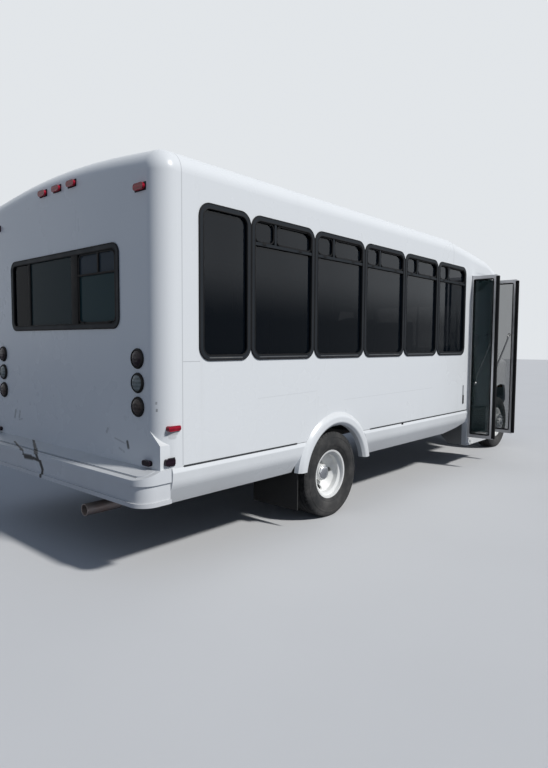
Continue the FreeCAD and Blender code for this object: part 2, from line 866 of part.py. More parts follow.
def rear_axle_set():
    at = (rear_axle, S.tyre_radius)
    tube = rod("axle_tube", "y", 50, (-682, 682), *at)
    spindles = rod("axle_spindles", "y", S.spindle_radius + 8, (-900, 900), *at)
    bowl_line = [(0, -95, 0), (90, -95, 30), (170, -30, 30), (170, 30, 30), (90, 95, 30), (0, 95, 0)]
    bowl = turned("diff_bowl", bowl_line)
    place(bowl, rear_axle, 0, S.tyre_radius)
    nose = rod("diff_nose", "x", 55, (rear_axle + 100, rear_axle + 260), 0, S.tyre_radius)
    seat = box("spring_pad", (rear_axle - 70, rear_axle + 70), (490, 550),
               (S.tyre_radius, S.tyre_radius + 70))
    return keep("rear_axle", fuse("rear_axle_set", tube, spindles, bowl, nose, both("spring_pads", seat)))


def front_axle_set():
    z = S.tyre_radius
    pin = S.kingpin_half
    beam = box("axle_beam", (front_axle - 35, front_axle + 35), (-pin + 24, pin - 24), (z - 37, z + 33))
    boss = rod("kingpin_boss", "z", 28, (z - 37, z + 37), front_axle, pin)
    kingpin = rod("kingpin", "z", 12, (z - 100, z + 100), front_axle, pin)
    ends = both("kingpins", fuse("kingpin_end", boss, kingpin))
    return keep("front_axle", fuse("front_axle_set", beam, ends))


def knuckle(name, side):
    """The steered knuckle: two ears round the kingpin, a web and the wheel's spindle."""
    z = S.tyre_radius
    pin = side * S.kingpin_half
    fit = S.spindle_fit
    ears = []
    for level, low in (("top", z + 37 + fit), ("bottom", z - 87 - fit)):
        ears.append(rod(f"{name}_ear_{level}", "z", 28, (low, low + 50), front_axle, pin))
    across = sorted([pin + side * 10, pin + side * 64], key=float)
    web = box(f"{name}_web", (front_axle - 32, front_axle + 32), across, (z - 87 - fit, z + 87 + fit))
    room = box(f"{name}_room", (front_axle - 60, front_axle + 60),
               (pin - 35, pin + 35), (z - 37 - fit, z + 37 + fit))
    along = sorted([pin + side * 60, side * (S.front_track_half + 110)], key=float)
    spindle = rod(f"{name}_spindle", "y", S.spindle_radius, along, front_axle, z)
    bore = rod(f"{name}_bore", "z", 12 + fit, (z - 120, z + 120), front_axle, pin)
    solid = fuse(f"{name}_solid", *ears, web)
    return keep(name, fuse(f"{name}_piece", cut(f"{name}_cleared", solid, bore, room), spindle))


# Wheels

def tyre_outline():
    half = S.tyre_width / 2
    bead = S.bead_radius + 0.3
    bead_half = half - 36.5
    tread = S.tyre_radius
    return [
        (bead, -bead_half),
        (bead + 17, -bead_half - 2),
        (bead + 48, -half),
        (tread - 30, -half, 26),
        (tread, -half + 22),
        (tread, half - 22),
        (tread - 30, half, 26),
        (bead + 48, half),
        (bead + 17, bead_half + 2),
        (bead, bead_half),
        (bead, bead_half - 16),
        (bead + 40, half - 20),
        (tread - 22, half - 26),
        (tread - 22, 26 - half),
        (bead + 40, 20 - half),
        (bead, 16 - bead_half),
    ]


def steel_wheel(name):
    """One wheel with four hand holes. Its disc lies towards -Y."""
    body = new_body(name)
    bead = S.bead_radius
    edge = S.tyre_width / 2 - 27
    mount = S.dual_spacing / 2
    outline = [
        (bead + 14, edge),
        (bead + 14, edge - 6),
        (bead, edge - 9),
        (bead, edge - 38),
        (bead - 26, edge - 50),
        (bead - 26, 50 - edge),
        (bead, 38 - edge),
        (bead, 9 - edge),
        (bead + 14, 6 - edge),
        (bead + 14, -edge),
        (bead - 8, 4 - edge),
        (bead - 8, 32 - edge),
        (bead - 34, 44 - edge),
        (bead - 34, -20),
        (bead - 84, -70, 20),
        (bead - 90, -mount),
        (62, -mount),
        (62, -mount + 12),
        (bead - 102, -mount + 12),
        (bead - 96, -62, 26),
        (bead - 34, 0),
        (bead - 34, edge - 44),
        (bead - 8, edge - 32),
        (bead - 8, edge - 4),
    ]
    sketch = sketch_in(body, "XY_Plane", 0, [outline])
    spin = body.newObject("PartDesign::Revolution", name + "_turn")
    spin.Profile = sketch
    spin.ReferenceAxis = (sketch, ["V_Axis"])
    spin.Angle = 360
    body.Tip = spin
    holes = sketch_in(body, "XZ_Plane", 0, [])
    circle = holes.addGeometry(Part.Circle(FreeCAD.Vector(0, 122, 0), FreeCAD.Vector(0, 0, 1), 21), False)
    holes.addConstraint(Sketcher.Constraint("PointOnObject", circle, 3, -2))
    up = holes.addConstraint(Sketcher.Constraint("DistanceY", circle, 3, 122))
    bind(holes, f"Constraints[{up}]", bead - 68)
    wide = holes.addConstraint(Sketcher.Constraint("Radius", circle, 21))
    bind(holes, f"Constraints[{wide}]", 21)
    pocket = body.newObject("PartDesign::Pocket", name + "_hand_hole")
    pocket.Profile = holes
    pocket.Type = 0
    pocket.Length = 150
    pocket.Reversed = False
    pocket.Midplane = True
    body.Tip = pocket
    pattern = body.newObject("PartDesign::PolarPattern", name + "_hand_holes")
    pattern.Originals = [pocket]
    axis = next(f for f in body.Origin.OriginFeatures if f.Role == "Y_Axis")
    pattern.Axis = (axis, [""])
    pattern.Angle = 360
    pattern.Occurrences = 4
    body.Tip = pattern
    return body


def wheels():
    """Single front wheels and twin rear wheels, each side its own tyres and rims."""
    wheel = steel_wheel("steel_wheel")
    flipped = mirrored("steel_wheel_flipped", wheel)
    tyre = turned("tyre_ring", tyre_outline())
    z = S.tyre_radius
    half = S.tyre_width / 2
    outer = S.rear_outer_face - half
    inner = outer - S.dual_spacing
    mount = S.dual_spacing / 2
    bore = S.spindle_radius + 8 + S.spindle_fit
    for label, side in (("left", 1), ("right", -1)):
        inward, outward = (wheel, flipped) if side > 0 else (flipped, wheel)
        keep(f"tyres_rear_{label}", group(
            f"twin_tyres_{label}",
            moved(f"tyre_outer_{label}", tyre, rear_axle, side * outer, z),
            moved(f"tyre_inner_{label}", tyre, rear_axle, side * inner, z)))
        drum = [
            (bore, inner - 130),
            (150, inner - 130, 8),
            (150, inner - 20, 8),
            (100, inner - 12),
            (100, inner + mount - 12),
            (61.5, inner + mount - 12),
            (61.5, inner + mount + 12),
            (75, inner + mount + 12),
            (70, outer + 8, 10),
            (bore, outer + 8),
        ]
        hub = turned(f"rear_hub_{label}", drum)
        hub_at = hub if side > 0 else mirrored(f"rear_hub_turned_{label}", hub)
        keep(f"rims_rear_{label}", fuse(
            f"twin_rims_{label}",
            moved(f"rim_outer_{label}", inward, rear_axle, side * outer, z),
            moved(f"rim_inner_{label}", outward, rear_axle, side * inner, z),
            moved(f"hub_at_rear_{label}", hub_at, rear_axle, 0, z)))
        track = S.front_track_half
        keep(f"tyre_front_{label}", moved(f"tyre_single_{label}", tyre, front_axle, side * track, z))
        pin_fit = S.spindle_radius + S.spindle_fit
        disc = [
            (pin_fit, track - 60),
            (95, track - 60),
            (95, track - 40),
            (150, track - 40),
            (150, track - 18),
            (80, track - 18),
            (80, track + mount - 12),
            (61.5, track + mount - 12),
            (61.5, track + mount + 4),
            (50, track + mount + 22, 6),
            (40, track + mount + 22),
            (40, track + 112),
            (pin_fit, track + 112),
        ]
        front_hub = turned(f"front_hub_{label}", disc)
        front_hub_at = front_hub if side > 0 else mirrored(f"front_hub_turned_{label}", front_hub)
        keep(f"rim_front_{label}", fuse(
            f"front_rim_{label}",
            moved(f"rim_single_{label}", outward, front_axle, side * track, z),
            moved(f"hub_at_front_{label}", front_hub_at, front_axle, 0, z)))


# Outside of the body

def skirts():
    """Lower side panels that tuck in towards the ground."""
    top = S.side_bottom - 4
    half = S.half_width
    tuck = half - S.skirt_tuck
    profile = [
        (half, top),
        (half + 9, top - 30, 20),
        (half, 600, 150),
        (tuck, S.skirt_bottom),
        (tuck - S.skirt_thick, S.skirt_bottom),
        (half - S.skirt_thick, 603, 120),
        (half - S.skirt_thick, top),
    ]
    start = rear_end + S.rear_bumper_wrap + 4
    left = plate("skirt_left", "x", (start, cab_back - S.wall - 0.3), profile)
    right_long = plate("skirt_right_long", "x", (start, entry_frame_rear - 0.3), profile)
    arch = rod("skirt_arch", "y", S.rear_arch_outer, (-1300, 1300), rear_axle, S.arch_height)
    rise = plate("skirt_rise", "y", (1000, 1300), [
        (entry_frame_rear - 560, S.skirt_bottom - 10),
        (entry_frame_rear + 10, S.skirt_bottom - 10),
        (entry_frame_rear + 10, S.skirt_bottom + 95),
        (entry_frame_rear - 200, S.skirt_bottom + 40, 300),
    ])
    right = mirrored("skirt_right", cut("skirt_right_risen", right_long, rise))
    return keep("skirts", cut("skirt_set", group("skirt_pair", left, right), arch))


def arch_flares():
    """Raised rings round the rear wheel openings, rounded towards the wall and the wheel."""
    half = S.half_width
    outer = S.rear_arch_outer - 0.3
    inner = S.rear_arch_inner
    section = turned("flare_section", [
        (inner, inner_half + 0.3),
        (outer, inner_half + 0.3),
        (outer, half + 4),
        (outer - 32, half + S.arch_proud, 40),
        (inner + 24, half + S.arch_proud, 20),
        (inner, half + 6),
    ])
    place(section, rear_axle, 0, S.arch_height)
    below = box("flare_below", (rear_axle - 600, rear_axle + 600), (half - 60, half + 60),
                (-300, S.skirt_bottom))
    return keep("arch_flares", both("flare_pair", cut("flare", section, below)))


def bumper_layer(name, end, way, halves, wrap, inward, low, high):
    """One layer of a wrapped bumper, as an outline drawn in from the outermost one."""
    near = end - way * wrap
    half_near, half_end = halves
    tip = end - way * inward
    return plate(name, "z", (low, high), [
        (near, inward - half_near),
        (tip, inward - half_end, S.bumper_round - inward),
        (tip, half_end - inward, S.bumper_round - inward),
        (near, half_near - inward),
    ])


def bumper(name, end, way, halves, wrap, room_high):
    """A wrapped bumper with a rim above, a recessed face and a lip below, open underneath."""
    low, high = S.bumper_low, S.bumper_high
    rim = bumper_layer(name + "_rim", end, way, halves, wrap, dim(0), high - 85, high)
    face = bumper_layer(name + "_face", end, way, halves, wrap, dim(12), low + 26, high - 84)
    lip = bumper_layer(name + "_lip", end, way, halves, wrap, dim(0), low, low + 27)
    hollow = bumper_layer(name + "_hollow", end, way, halves, wrap + 5, S.bumper_skin, low - 5, room_high)
    return cut(name + "_skin", fuse(name + "_layers", rim, face, lip), hollow)


def ledge_wedge(name, drop):
    """What lies above the rear bumper's sloping ledge, let down by a drop."""
    out = rear_end - 5
    wide = S.half_width + 5
    return plate(name, "y", (-wide, wide), [
        (out, S.bumper_lip - drop),
        (rear_wall, S.bumper_high - drop),
        (rear_wall, S.bumper_high + 20),
        (out, S.bumper_high + 20),
    ])


def bumpers():
    half = S.half_width - 2
    rear = bumper("rear_bumper", rear_end, -1, (half, half), S.rear_bumper_wrap, S.bumper_lip - 25)
    body_room = box("bumper_body_room", (rear_wall + 30, rear_wall + 400),
                    (-inner_half - 0.3, inner_half + 0.3), (400, 800))
    band = [bumper_layer(f"groove_{side}", rear_end, -1, (half, half), dim(140), dim(inward), 600, 800)
            for side, inward in (("outer", 38), ("inner", 47))]
    groove = common("ledge_groove", cut("groove_band", *band), ledge_wedge("groove_depth", 7))
    keep("rear_bumper", cut("rear_bumper_piece", rear, body_room, ledge_wedge("ledge_slope", 0), groove))
    halves = (S.front_bumper_half + S.front_bumper_flare, S.front_bumper_half)
    front = bumper("front_bumper", front_end, 1, halves, S.front_bumper_wrap, S.bumper_high - 20)
    inside = S.front_bumper_half - S.bumper_skin
    rail_room = box("bumper_rail_room", (front_axle, front_end - 127), (-inside, inside), (400, 800))
    bolts = plate_bolts("front_plate_bolt", (front_end - S.bumper_skin - 5, front_end + 5), FRONT_PLATE)
    plate_pad = box("front_plate_pad", (front_end - 20, front_end), (-165, 165), (515, 690))
    padded = fuse("front_bumper_pad", front, plate_pad)
    keep("front_bumper", cut("front_bumper_piece", padded, rail_room, *bolts))


# Columns: name, kind of lens, height of each round lamp on the rear face.
ROUND_LAMPS = (
    ("stop", "red_lamps", 1404),
    ("reverse", "clear_lamps", 1248),
    ("turn", "amber_lamps", 1094),
)
ROUND_LAMP_Y = 983
LENS_RADIUS = 54
GROMMET_RADIUS = 66

# Columns: name, y and z of the centre, length and height of each lamp that lies flat on the rear face.
REAR_MARKERS = (
    ("clearance_left", 212, 2635, 105, 42),
    ("clearance_middle", 0, 2635, 105, 42),
    ("clearance_right", -212, 2635, 105, 42),
    ("corner_left", 1030, 2470, 105, 42),
    ("corner_right", -1030, 2470, 105, 42),
    ("reflector_left", 1086, 744, 85, 36),
    ("reflector_right", -1086, 744, 85, 36),
)

# Columns: name, x and z of the centre, length and height of each lamp on the cap's sides.
SIDE_MARKERS = (
    ("side_lamp", -3375, 967, 96, 34),
    ("side_reflector", -3411, 756, 76, 42),
)


def turned_to_rear(name, source, y, z):
    """A copy of a turned piece whose axis points to the rear, standing on the rear wall."""
    copy = doc.addObject("Part::Compound", name)
    copy.Links = [source]
    copy.Placement = FreeCAD.Placement(FreeCAD.Vector(), FreeCAD.Rotation(FreeCAD.Vector(0, 0, 1), 90))
    return place(copy, rear_wall, y, z)


def lamps():
    """Rear, side and front lamps, each kind one piece of solids that stand on the panels."""
    kinds = {"red_lamps": [], "clear_lamps": [], "amber_lamps": []}
    dome = turned("lamp_dome", [
        (0, 0), (LENS_RADIUS, 0), (LENS_RADIUS, 12, 6), (30, 20, 30), (0, 21)])
    for name, kind, z in ROUND_LAMPS:
        for side in (-1, 1):
            kinds[kind].append(turned_to_rear(f"lamp_{name}_{side}", dome, side * ROUND_LAMP_Y, z))
    for name, y, z, long, high in REAR_MARKERS:
        outline = rectangle((y - long / 2, y + long / 2), (z - high / 2, z + high / 2), high / 2 - 2)
        kinds["red_lamps"].append(plate(f"marker_{name}", "x", (rear_wall - 22, rear_wall), outline))
    for name, x, z, long, high in SIDE_MARKERS:
        block = plate(f"marker_{name}_block", "y", (S.half_width - 30, S.half_width + 9), rectangle(
            (x - long / 2, x + long / 2), (z - high / 2, z + high / 2), 12))
        seated = cut(f"marker_{name}_seated", block, NODES["rear_cap"])
        kinds["red_lamps"].append(both(f"marker_{name}", seated))
    nose = front_end - 127
    for side in (-1, 1):
        across = sorted([side * S.lamp_inner, side * S.lamp_outer], key=float)
        kinds["clear_lamps"].append(plate(f"headlamp_{side}", "x", (nose - 25, nose + 8),
                                          rectangle(across, HEADLAMP_Z, 18)))
        kinds["amber_lamps"].append(plate(f"front_turn_{side}", "x", (nose - 25, nose + 6),
                                          rectangle(across, TURN_LAMP_Z, 14)))
    brow = header + 45
    for number, y in enumerate((-620, -212, 0, 212, 620)):
        kinds["amber_lamps"].append(plate(f"front_clearance_{number}", "x", (brow, brow + 22),
                                          rectangle((y - 52, y + 52), (2228, 2270), 19)))
    for kind, pieces in kinds.items():
        keep(kind, group(kind + "_set", *pieces))


HEADLAMP_Z = (925, 1105)
TURN_LAMP_Z = (845, 908)


def black_trim():
    """Grommets round the lamps and the strips in the groove between wall and skirt."""
    ring = turned("grommet_ring", [
        (LENS_RADIUS + 0.3, 0),
        (GROMMET_RADIUS, 0),
        (GROMMET_RADIUS, 6),
        (LENS_RADIUS + 4, 16),
        (LENS_RADIUS + 0.3, 16),
    ])
    pieces = [turned_to_rear(f"grommet_{name}_{side}", ring, side * ROUND_LAMP_Y, z)
              for name, _, z in ROUND_LAMPS for side in (-1, 1)]
    depth = (S.half_width - 30, S.half_width - 7)
    height = (S.side_bottom - 4, S.side_bottom)
    gap = S.rear_arch_outer
    runs = (("behind", cap_seam + 1, rear_axle - gap), ("ahead", rear_axle + gap, entry_frame_rear - 1))
    for name, start, end in runs:
        strip = box(f"groove_strip_{name}", (start, end), depth, height)
        pieces += [strip, mirrored(f"groove_strip_{name}_right", strip)]
    keep("black_trim", group("black_trim_set", *pieces))


def entry_leaves():
    """Two glazed leaves, standing open at right angles to the body."""
    low, high = S.leaf_low, S.leaf_high
    stile = S.leaf_stile
    near = pivot_y + S.pivot_edge
    out = near - S.leaf_width
    rear_x = entry_rear + S.pivot_inset
    front_x = entry_front - S.pivot_inset
    for name, pivot_x, x in (
        ("rear", rear_x, (rear_x - S.pivot_edge, rear_x - S.pivot_edge + S.leaf_thick)),
        ("front", front_x, (front_x + S.pivot_edge - S.leaf_thick, front_x + S.pivot_edge)),
    ):
        frame_y = (out + S.leaf_edge, near)
        glass_y = inset(frame_y, stile)
        glass_z = inset((low, high), stile)
        frame = plate(f"leaf_frame_{name}", "x", x, rectangle(frame_y, (low, high), 8),
                      rectangle(glass_y, glass_z, 15))
        pins = [rod(f"leaf_pin_{name}_{end}", "z", S.pivot_radius, span, pivot_x, pivot_y)
                for end, span in (("low", (low - 20, low + 1)), ("high", (high - 1, high + 16)))]
        keep(f"entry_leaf_{name}", fuse(f"leaf_{name}", frame, *pins))
        keep(f"entry_edge_{name}", plate(f"leaf_edge_{name}", "x", inset(x, 3),
                                         rectangle((out, out + S.leaf_edge), inset((low, high), 20))))
        keep(f"entry_glass_{name}", plate(
            f"leaf_glass_{name}", "x", inset(x, 14),
            rectangle(inset(glass_y, 0.3), inset(glass_z, 0.3), 15)))


# Cab and front

def cab_section(inward, low, high):
    """The cab's cross section: upright to the belt, leaning in above it."""
    half = S.cab_half - inward
    top_half = S.cab_top_half - inward
    return [(-half, low), (half, low), (half, S.belt), (top_half, high), (-top_half, high), (-half, S.belt)]


def cab_side(inward, low):
    """The cab seen from the side."""
    return [
        (cab_back, low),
        (toe_board + S.cab_skin, low),
        (toe_board + S.cab_skin, 900 + inward),
        (cowl - 140 - inward, 900 + inward),
        (cowl - inward, S.cowl_height - inward),
        (header - inward, S.cab_top),
        (cab_back, S.cab_top),
    ]


def door_outline(inward):
    """The driver's door seen from the side."""
    rear = door_rear
    front = door_front
    slope = (S.header_back - S.cowl_back) / (S.cab_top - S.cowl_height)
    front_top = front - slope * (S.door_high - S.belt) - 30
    return [
        (rear + inward, S.door_low + inward, 40),
        (front - inward, S.door_low + inward, 40),
        (front - inward, S.belt),
        (front_top - inward, S.door_high - inward, 60),
        (rear + inward, S.door_high - inward, 60),
    ]


def side_window_outline(inward):
    rear = door_rear
    front = door_front
    slope = (S.header_back - S.cowl_back) / (S.cab_top - S.cowl_height)
    front_top = front - slope * (S.door_high - S.belt) - 30
    return [
        (rear + 70 + inward, S.belt + 45 + inward, 35),
        (front - 95 - inward, S.belt + 45 + inward, 35),
        (front_top - 70 - inward, S.door_high - 75 - inward, 50),
        (rear + 70 + inward, S.door_high - 75 - inward, 50),
    ]


def quarter_outline(inward):
    """The fixed window between the entry and the windscreen pillar."""
    rear = entry_frame_front + S.wall
    return [
        (rear + 50 + inward, S.belt + 45 + inward, 30),
        (front_axle - 250 - inward, S.belt + 45 + inward, 30),
        (front_axle - 610 - inward, S.door_high - 75 - inward, 40),
        (rear + 50 + inward, S.door_high - 75 - inward, 40),
    ]


def cab_strip(name, x, depth, thick, low, high):
    """A sheet that follows the driver's side of the cab's section, in by a depth."""
    def line(inward):
        return [
            (S.cab_half - inward, low),
            (S.cab_half - inward, S.belt),
            (S.cab_top_half - inward, S.cab_top),
        ]
    outline = line(depth) + line(depth + thick)[::-1]
    strip = plate(name, "x", x, outline)
    return strip


def cab_shell():
    low = S.cab_bottom
    outer = common("cab_outer", plate("cab_section_outer", "x", (cab_back, cowl + 10),
                                      cab_section(dim(0), low, S.cab_top)),
                   plate("cab_side_outer", "y", (-1100, 1100), cab_side(dim(0), low)))
    inner = common("cab_inner", plate("cab_section_inner", "x", (cab_back - 5, cowl + 10),
                                      cab_section(S.cab_skin, low - 5, S.cab_top + 5)),
                   plate("cab_side_inner", "y", (-1100, 1100), [
                       (cab_back - 6, low - 10),
                       (toe_board, low - 10),
                       (toe_board, 940),
                       (cowl - 180, 940),
                       (cowl - 45, S.cowl_height - 12),
                       (header - 45, S.cab_top + 10),
                       (cab_back - 6, S.cab_top + 10),
                   ]))
    fender_room = both("fender_room", box("fender_room_one", (toe_board + S.cab_skin, cowl + 20),
                                          (S.cab_half - 30, S.cab_half + 20), (500, S.belt)))
    screen = plate("screen_opening", "x", (header - 80, cowl + 100), screen_outline(dim(0)))
    door = plate("door_aperture", "y", (S.cab_top_half - 120, S.cab_half + 60), door_outline(dim(0)))
    quarter = plate("quarter_opening", "y", (-S.cab_half - 60, -S.cab_top_half + 120),
                    quarter_outline(dim(0)))
    body_room = box("cab_body_room", (cab_back - 10, entry_frame_front + S.wall),
                    (-S.cab_half - 20, -S.cab_top_half + 100), (500, S.cab_top + 20))
    floor_room = box("cab_floor_room", (cab_back - 10, toe_board),
                     (-S.cab_half + S.cab_skin - 0.3, S.cab_half - S.cab_skin + 0.3),
                     (S.floor_bottom - 0.3, floor_top + 0.3))
    rail_side = S.rail_centre + S.rail_flange / 2 + 0.3
    chassis_room = box("cab_chassis_room", (toe_board - 3, toe_board + S.cab_skin + 7), (-rail_side, rail_side),
                       (500, S.floor_bottom + 0.3))
    shell = cut("cab_shell_cut", outer, inner, fender_room, screen, door, quarter, body_room,
                floor_room, chassis_room)
    x, z = hood_hinge
    lug_y = (577, 588)
    lug = fuse("hood_lug", box("hood_lug_arm", (cowl - 30, x), lug_y, (z - 20, z)),
               rod("hood_lug_end", "y", 12, lug_y, x, z))
    lug_far = place(group("hood_lug_far", lug), 0, 35, 0)
    pin = rod("hood_pin", "y", S.hinge_radius, (580, 620), x, z)
    hinges = [both("hood_lugs", fuse("hood_lug_set", lug, lug_far, pin))]
    for number, low in enumerate(DOOR_HINGES):
        hinges += door_hinge_half(f"cab_hinge_{number}", (low, low + 20), 1, True)
    return keep("cab_shell", fuse("cab_with_hinges", shell, *hinges))


DOOR_HINGES = (790, 1210)


def door_hinge_half(name, span, way, with_pin):
    """One half of an outside door hinge: a barrel with a strap, and the pin if it carries it."""
    x, y = door_hinge
    strap_x = (x + 3.3, x + 22) if way > 0 else (x - 34, x - 3.3)
    strap = box(name + "_strap", strap_x, (S.cab_half - 1, y), span)
    barrel = rod(name + "_barrel", "z", 8, span, x, y)
    if with_pin:
        pin = rod(name + "_pin", "z", 4, (span[0], span[1] + 20), x, y)
        return [fuse(name, strap, barrel, pin)]
    bore = rod(name + "_bore", "z", 4.3, (span[0] - 1, span[1] + 1), x, y)
    return [cut(name, fuse(name + "_solid", strap, barrel), bore)]


def screen_outline(inward):
    """The windscreen seen from the front, as (y, z)."""
    foot = S.cab_half - 115 - inward
    head = S.cab_top_half - 95 - inward
    low = S.cowl_height + 45 + inward
    high = S.cab_top - 70 - inward
    return [(-foot, low, 60), (foot, low, 60), (head, high, 70), (-head, high, 70)]


def cab_glass():
    run = S.cab_top - S.cowl_height
    back = S.header_back - S.cowl_back
    slab = plate("screen_slab", "y", (-900, 900), [
        (cowl - 12, S.cowl_height),
        (cowl - 12 - back, S.cowl_height + run),
        (cowl - 20 - back, S.cowl_height + run),
        (cowl - 20, S.cowl_height),
    ])
    window = plate("screen_window", "x", (header - 80, cowl + 100), screen_outline(dim(0.4)))
    screen = common("windscreen", slab, window)
    sheet_part = mirrored("quarter_sheet", cab_strip("quarter_strip", (cab_back, cowl), dim(14), S.glass,
                                                     S.belt - 100, S.cab_top))
    quarter = common("quarter_pane", sheet_part,
                     plate("quarter_cutter", "y", (-S.cab_half - 60, -S.cab_top_half + 120),
                           quarter_outline(dim(0.4))))
    return keep("cab_glass", group("cab_panes", screen, quarter))


def driver_door():
    skin = cab_strip("door_skin", (cab_back, cowl), dim(0), S.cab_skin, S.door_low - 50, S.cab_top)
    outer = plate("door_cutter", "y", (S.cab_top_half - 120, S.cab_half + 60),
                  door_outline(S.door_gap), side_window_outline(dim(0)))
    panel = common("driver_door_panel", skin, outer)
    hinges = []
    for number, low in enumerate(DOOR_HINGES):
        hinges += door_hinge_half(f"door_hinge_{number}", (low + 20.3, low + 40), -1, False)
    keep("driver_door", fuse("driver_door_set", panel, *hinges))
    pane = cab_strip("door_pane_strip", (cab_back, cowl), dim(16), S.glass, S.door_low, S.cab_top)
    cutter = plate("door_pane_cutter", "y", (S.cab_top_half - 120, S.cab_half + 60),
                   side_window_outline(dim(0.4)))
    keep("driver_door_glass", common("door_pane", pane, cutter))


def hood():
    """A low, crowned lid that narrows slightly and falls to the nose."""
    start = cowl + S.hood_clear

    def sections(inward, drop):
        # Columns: share of the length, top height, side flange depth.
        rows = (
            (0.0, S.cowl_height + 5, 80),
            (0.45, S.cowl_height - 32, 75),
            (0.86, S.nose_top + 62, 60),
            (1.0, S.nose_top, 34),
        )
        result = []
        for share, top, flange in rows:
            at = start + S.hood_length * share
            if share == 1.0:
                at = at - inward
            if share == 0.0:
                at = at + inward
            half = S.hood_half - inward
            edge = top - 24 - inward
            result.append((at, [
                (half, edge - flange - drop + inward),
                (half, edge, 30),
                (0, top - inward, 5000),
                (-half, edge, 30),
                (-half, edge - flange - drop + inward),
            ]))
        return result

    outer = loft("hood_outer", sections(dim(0), 0))
    inner = loft("hood_inner", sections(S.hood_sheet, 10))
    at = (hood_hinge[0], hood_hinge[1])
    notch = box("hood_notch", (start - 5, start + 34), (572, 628), (1200, 1500))
    eye = rod("hood_eye", "y", 12, (590, 610), *at)
    web = box("hood_eye_web", (at[0], start + 38), (590, 610), (at[1] - 12, at[1]))
    bore = rod("hood_eye_bore", "y", S.hinge_radius + 0.3, (560, 640), *at)
    shell = cut("hood_notched", cut("hood_shell", outer, inner), both("hood_notches", notch))
    eyes = both("hood_eyes", cut("hood_eye_bored", fuse("hood_eye_web_set", eye, web), bore))
    return keep("hood", fuse("hood_piece", shell, eyes))


# Columns: place along the bus from the front axle, half width, top, flange, corner radius.
FENDER_SECTIONS = (
    (-437, 1000, 1348, 20, 90),
    (150, 1000, 1312, 18, 80),
    (400, 930, 1262, 16, 55),
    (613, 850, 1192, 12, 36),
)


def fenders():
    """Front side panels with open arches, which draw in towards the nose."""
    skin = 25

    def section(half, top, flange, radius):
        inner_edge = S.hood_half + S.door_gap
        return [
            (half, S.cab_bottom),
            (half, top, radius),
            (inner_edge, top + flange),
            (inner_edge, top + flange - skin),
            (half - skin, top - skin, radius - 22),
            (half - skin, S.cab_bottom),
        ]

    panel = loft("fender_panel", [(front_axle + at, section(*sizes)) for at, *sizes in FENDER_SECTIONS],
                 ruled=True)
    arch = rod("fender_arch", "y", S.front_arch, (600, 1200), front_axle, S.front_arch_height)
    cab_room = box("fender_cab_room", (front_axle - 500, cowl + 5), (600, S.cab_half - 29.7), (500, 1500))
    bumper_room = box("fender_bumper_room", (front_end - 336, front_end), (600, 1100),
                      (500, S.bumper_high + 5))
    left = cut("fender_left", panel, arch, cab_room, bumper_room)
    return keep("front_fenders", both("fender_pair", left))


def fascia():
    """The front panel that carries the grille and the lamps."""
    x = (front_end - 157, front_end - 127)
    openings = [rectangle((-430, 430), GRILLE_Z, 30)]
    fit = 0.5
    for side in (-1, 1):
        across = sorted([side * S.lamp_inner, side * S.lamp_outer], key=float)
        for height, radius in ((HEADLAMP_Z, 18), (TURN_LAMP_Z, 14)):
            openings.append(rectangle(inset(across, -fit), inset(height, -fit), radius + fit))
    panel = plate("fascia_panel", "x", x,
                  rectangle((-S.nose_half, S.nose_half), (S.fascia_low, S.fascia_high), 30), *openings)
    keep("fascia", panel)
    rim = plate("grille_rim", "x", (x[0] - 5, x[1] + 4), rectangle((-429.5, 429.5), inset(GRILLE_Z, 0.5), 29),
                rectangle((-405, 405), inset(GRILLE_Z, 25), 10))
    low, high = GRILLE_Z
    slats = [
        box(f"grille_slat_{number}", (x[0], x[1]), (-406, 406), (z, z + 12))
        for number, z in enumerate(range(low + 62, high - 40, 38))
    ]
    uprights = [box(f"grille_upright_{number}", (x[0] + 2, x[1] - 4), (y - 6, y + 6), (low + 24, high - 24))
                for number, y in enumerate((-200, 0, 200))]
    keep("grille", fuse("grille_piece", rim, *slats, *uprights))


GRILLE_Z = (835, 1130)


def mirrors():
    """One mirror stands out from the driver's door; the other is folded back along the cab."""
    x = front_axle - 530
    up = (1330, 1690)
    foot_y = (S.cab_half + 0.3, S.cab_half + 14)
    foot = box("mirror_foot", (x - 35, x + 35), foot_y, (1250, 1330))
    left_head = plate("mirror_head_left", "x", (x - 42, x + 42), rectangle(
        (S.cab_half + 330, S.cab_half + 530), up, 45))
    left_arm = bent_tube("mirror_arm_left", 11, [
        (x, S.cab_half + 10, 1290), (x, S.cab_half + 300, 1375), (x, S.cab_half + 400, 1375)])
    keep("mirror_left", fuse("mirror_piece_left", left_head, foot, left_arm))
    right_head = plate("mirror_head_right", "y", (-S.cab_half - 150, -S.cab_half - 66), rectangle(
        (x - 275, x - 75), up, 45))
    right_arm = bent_tube("mirror_arm_right", 11, [
        (x, -S.cab_half - 10, 1290), (x, -S.cab_half - 108, 1310), (x - 110, -S.cab_half - 108, 1375)])
    right_foot = mirrored("mirror_foot_right", foot)
    keep("mirror_right", fuse("mirror_piece_right", right_head, right_foot, right_arm))


# Underneath and inside

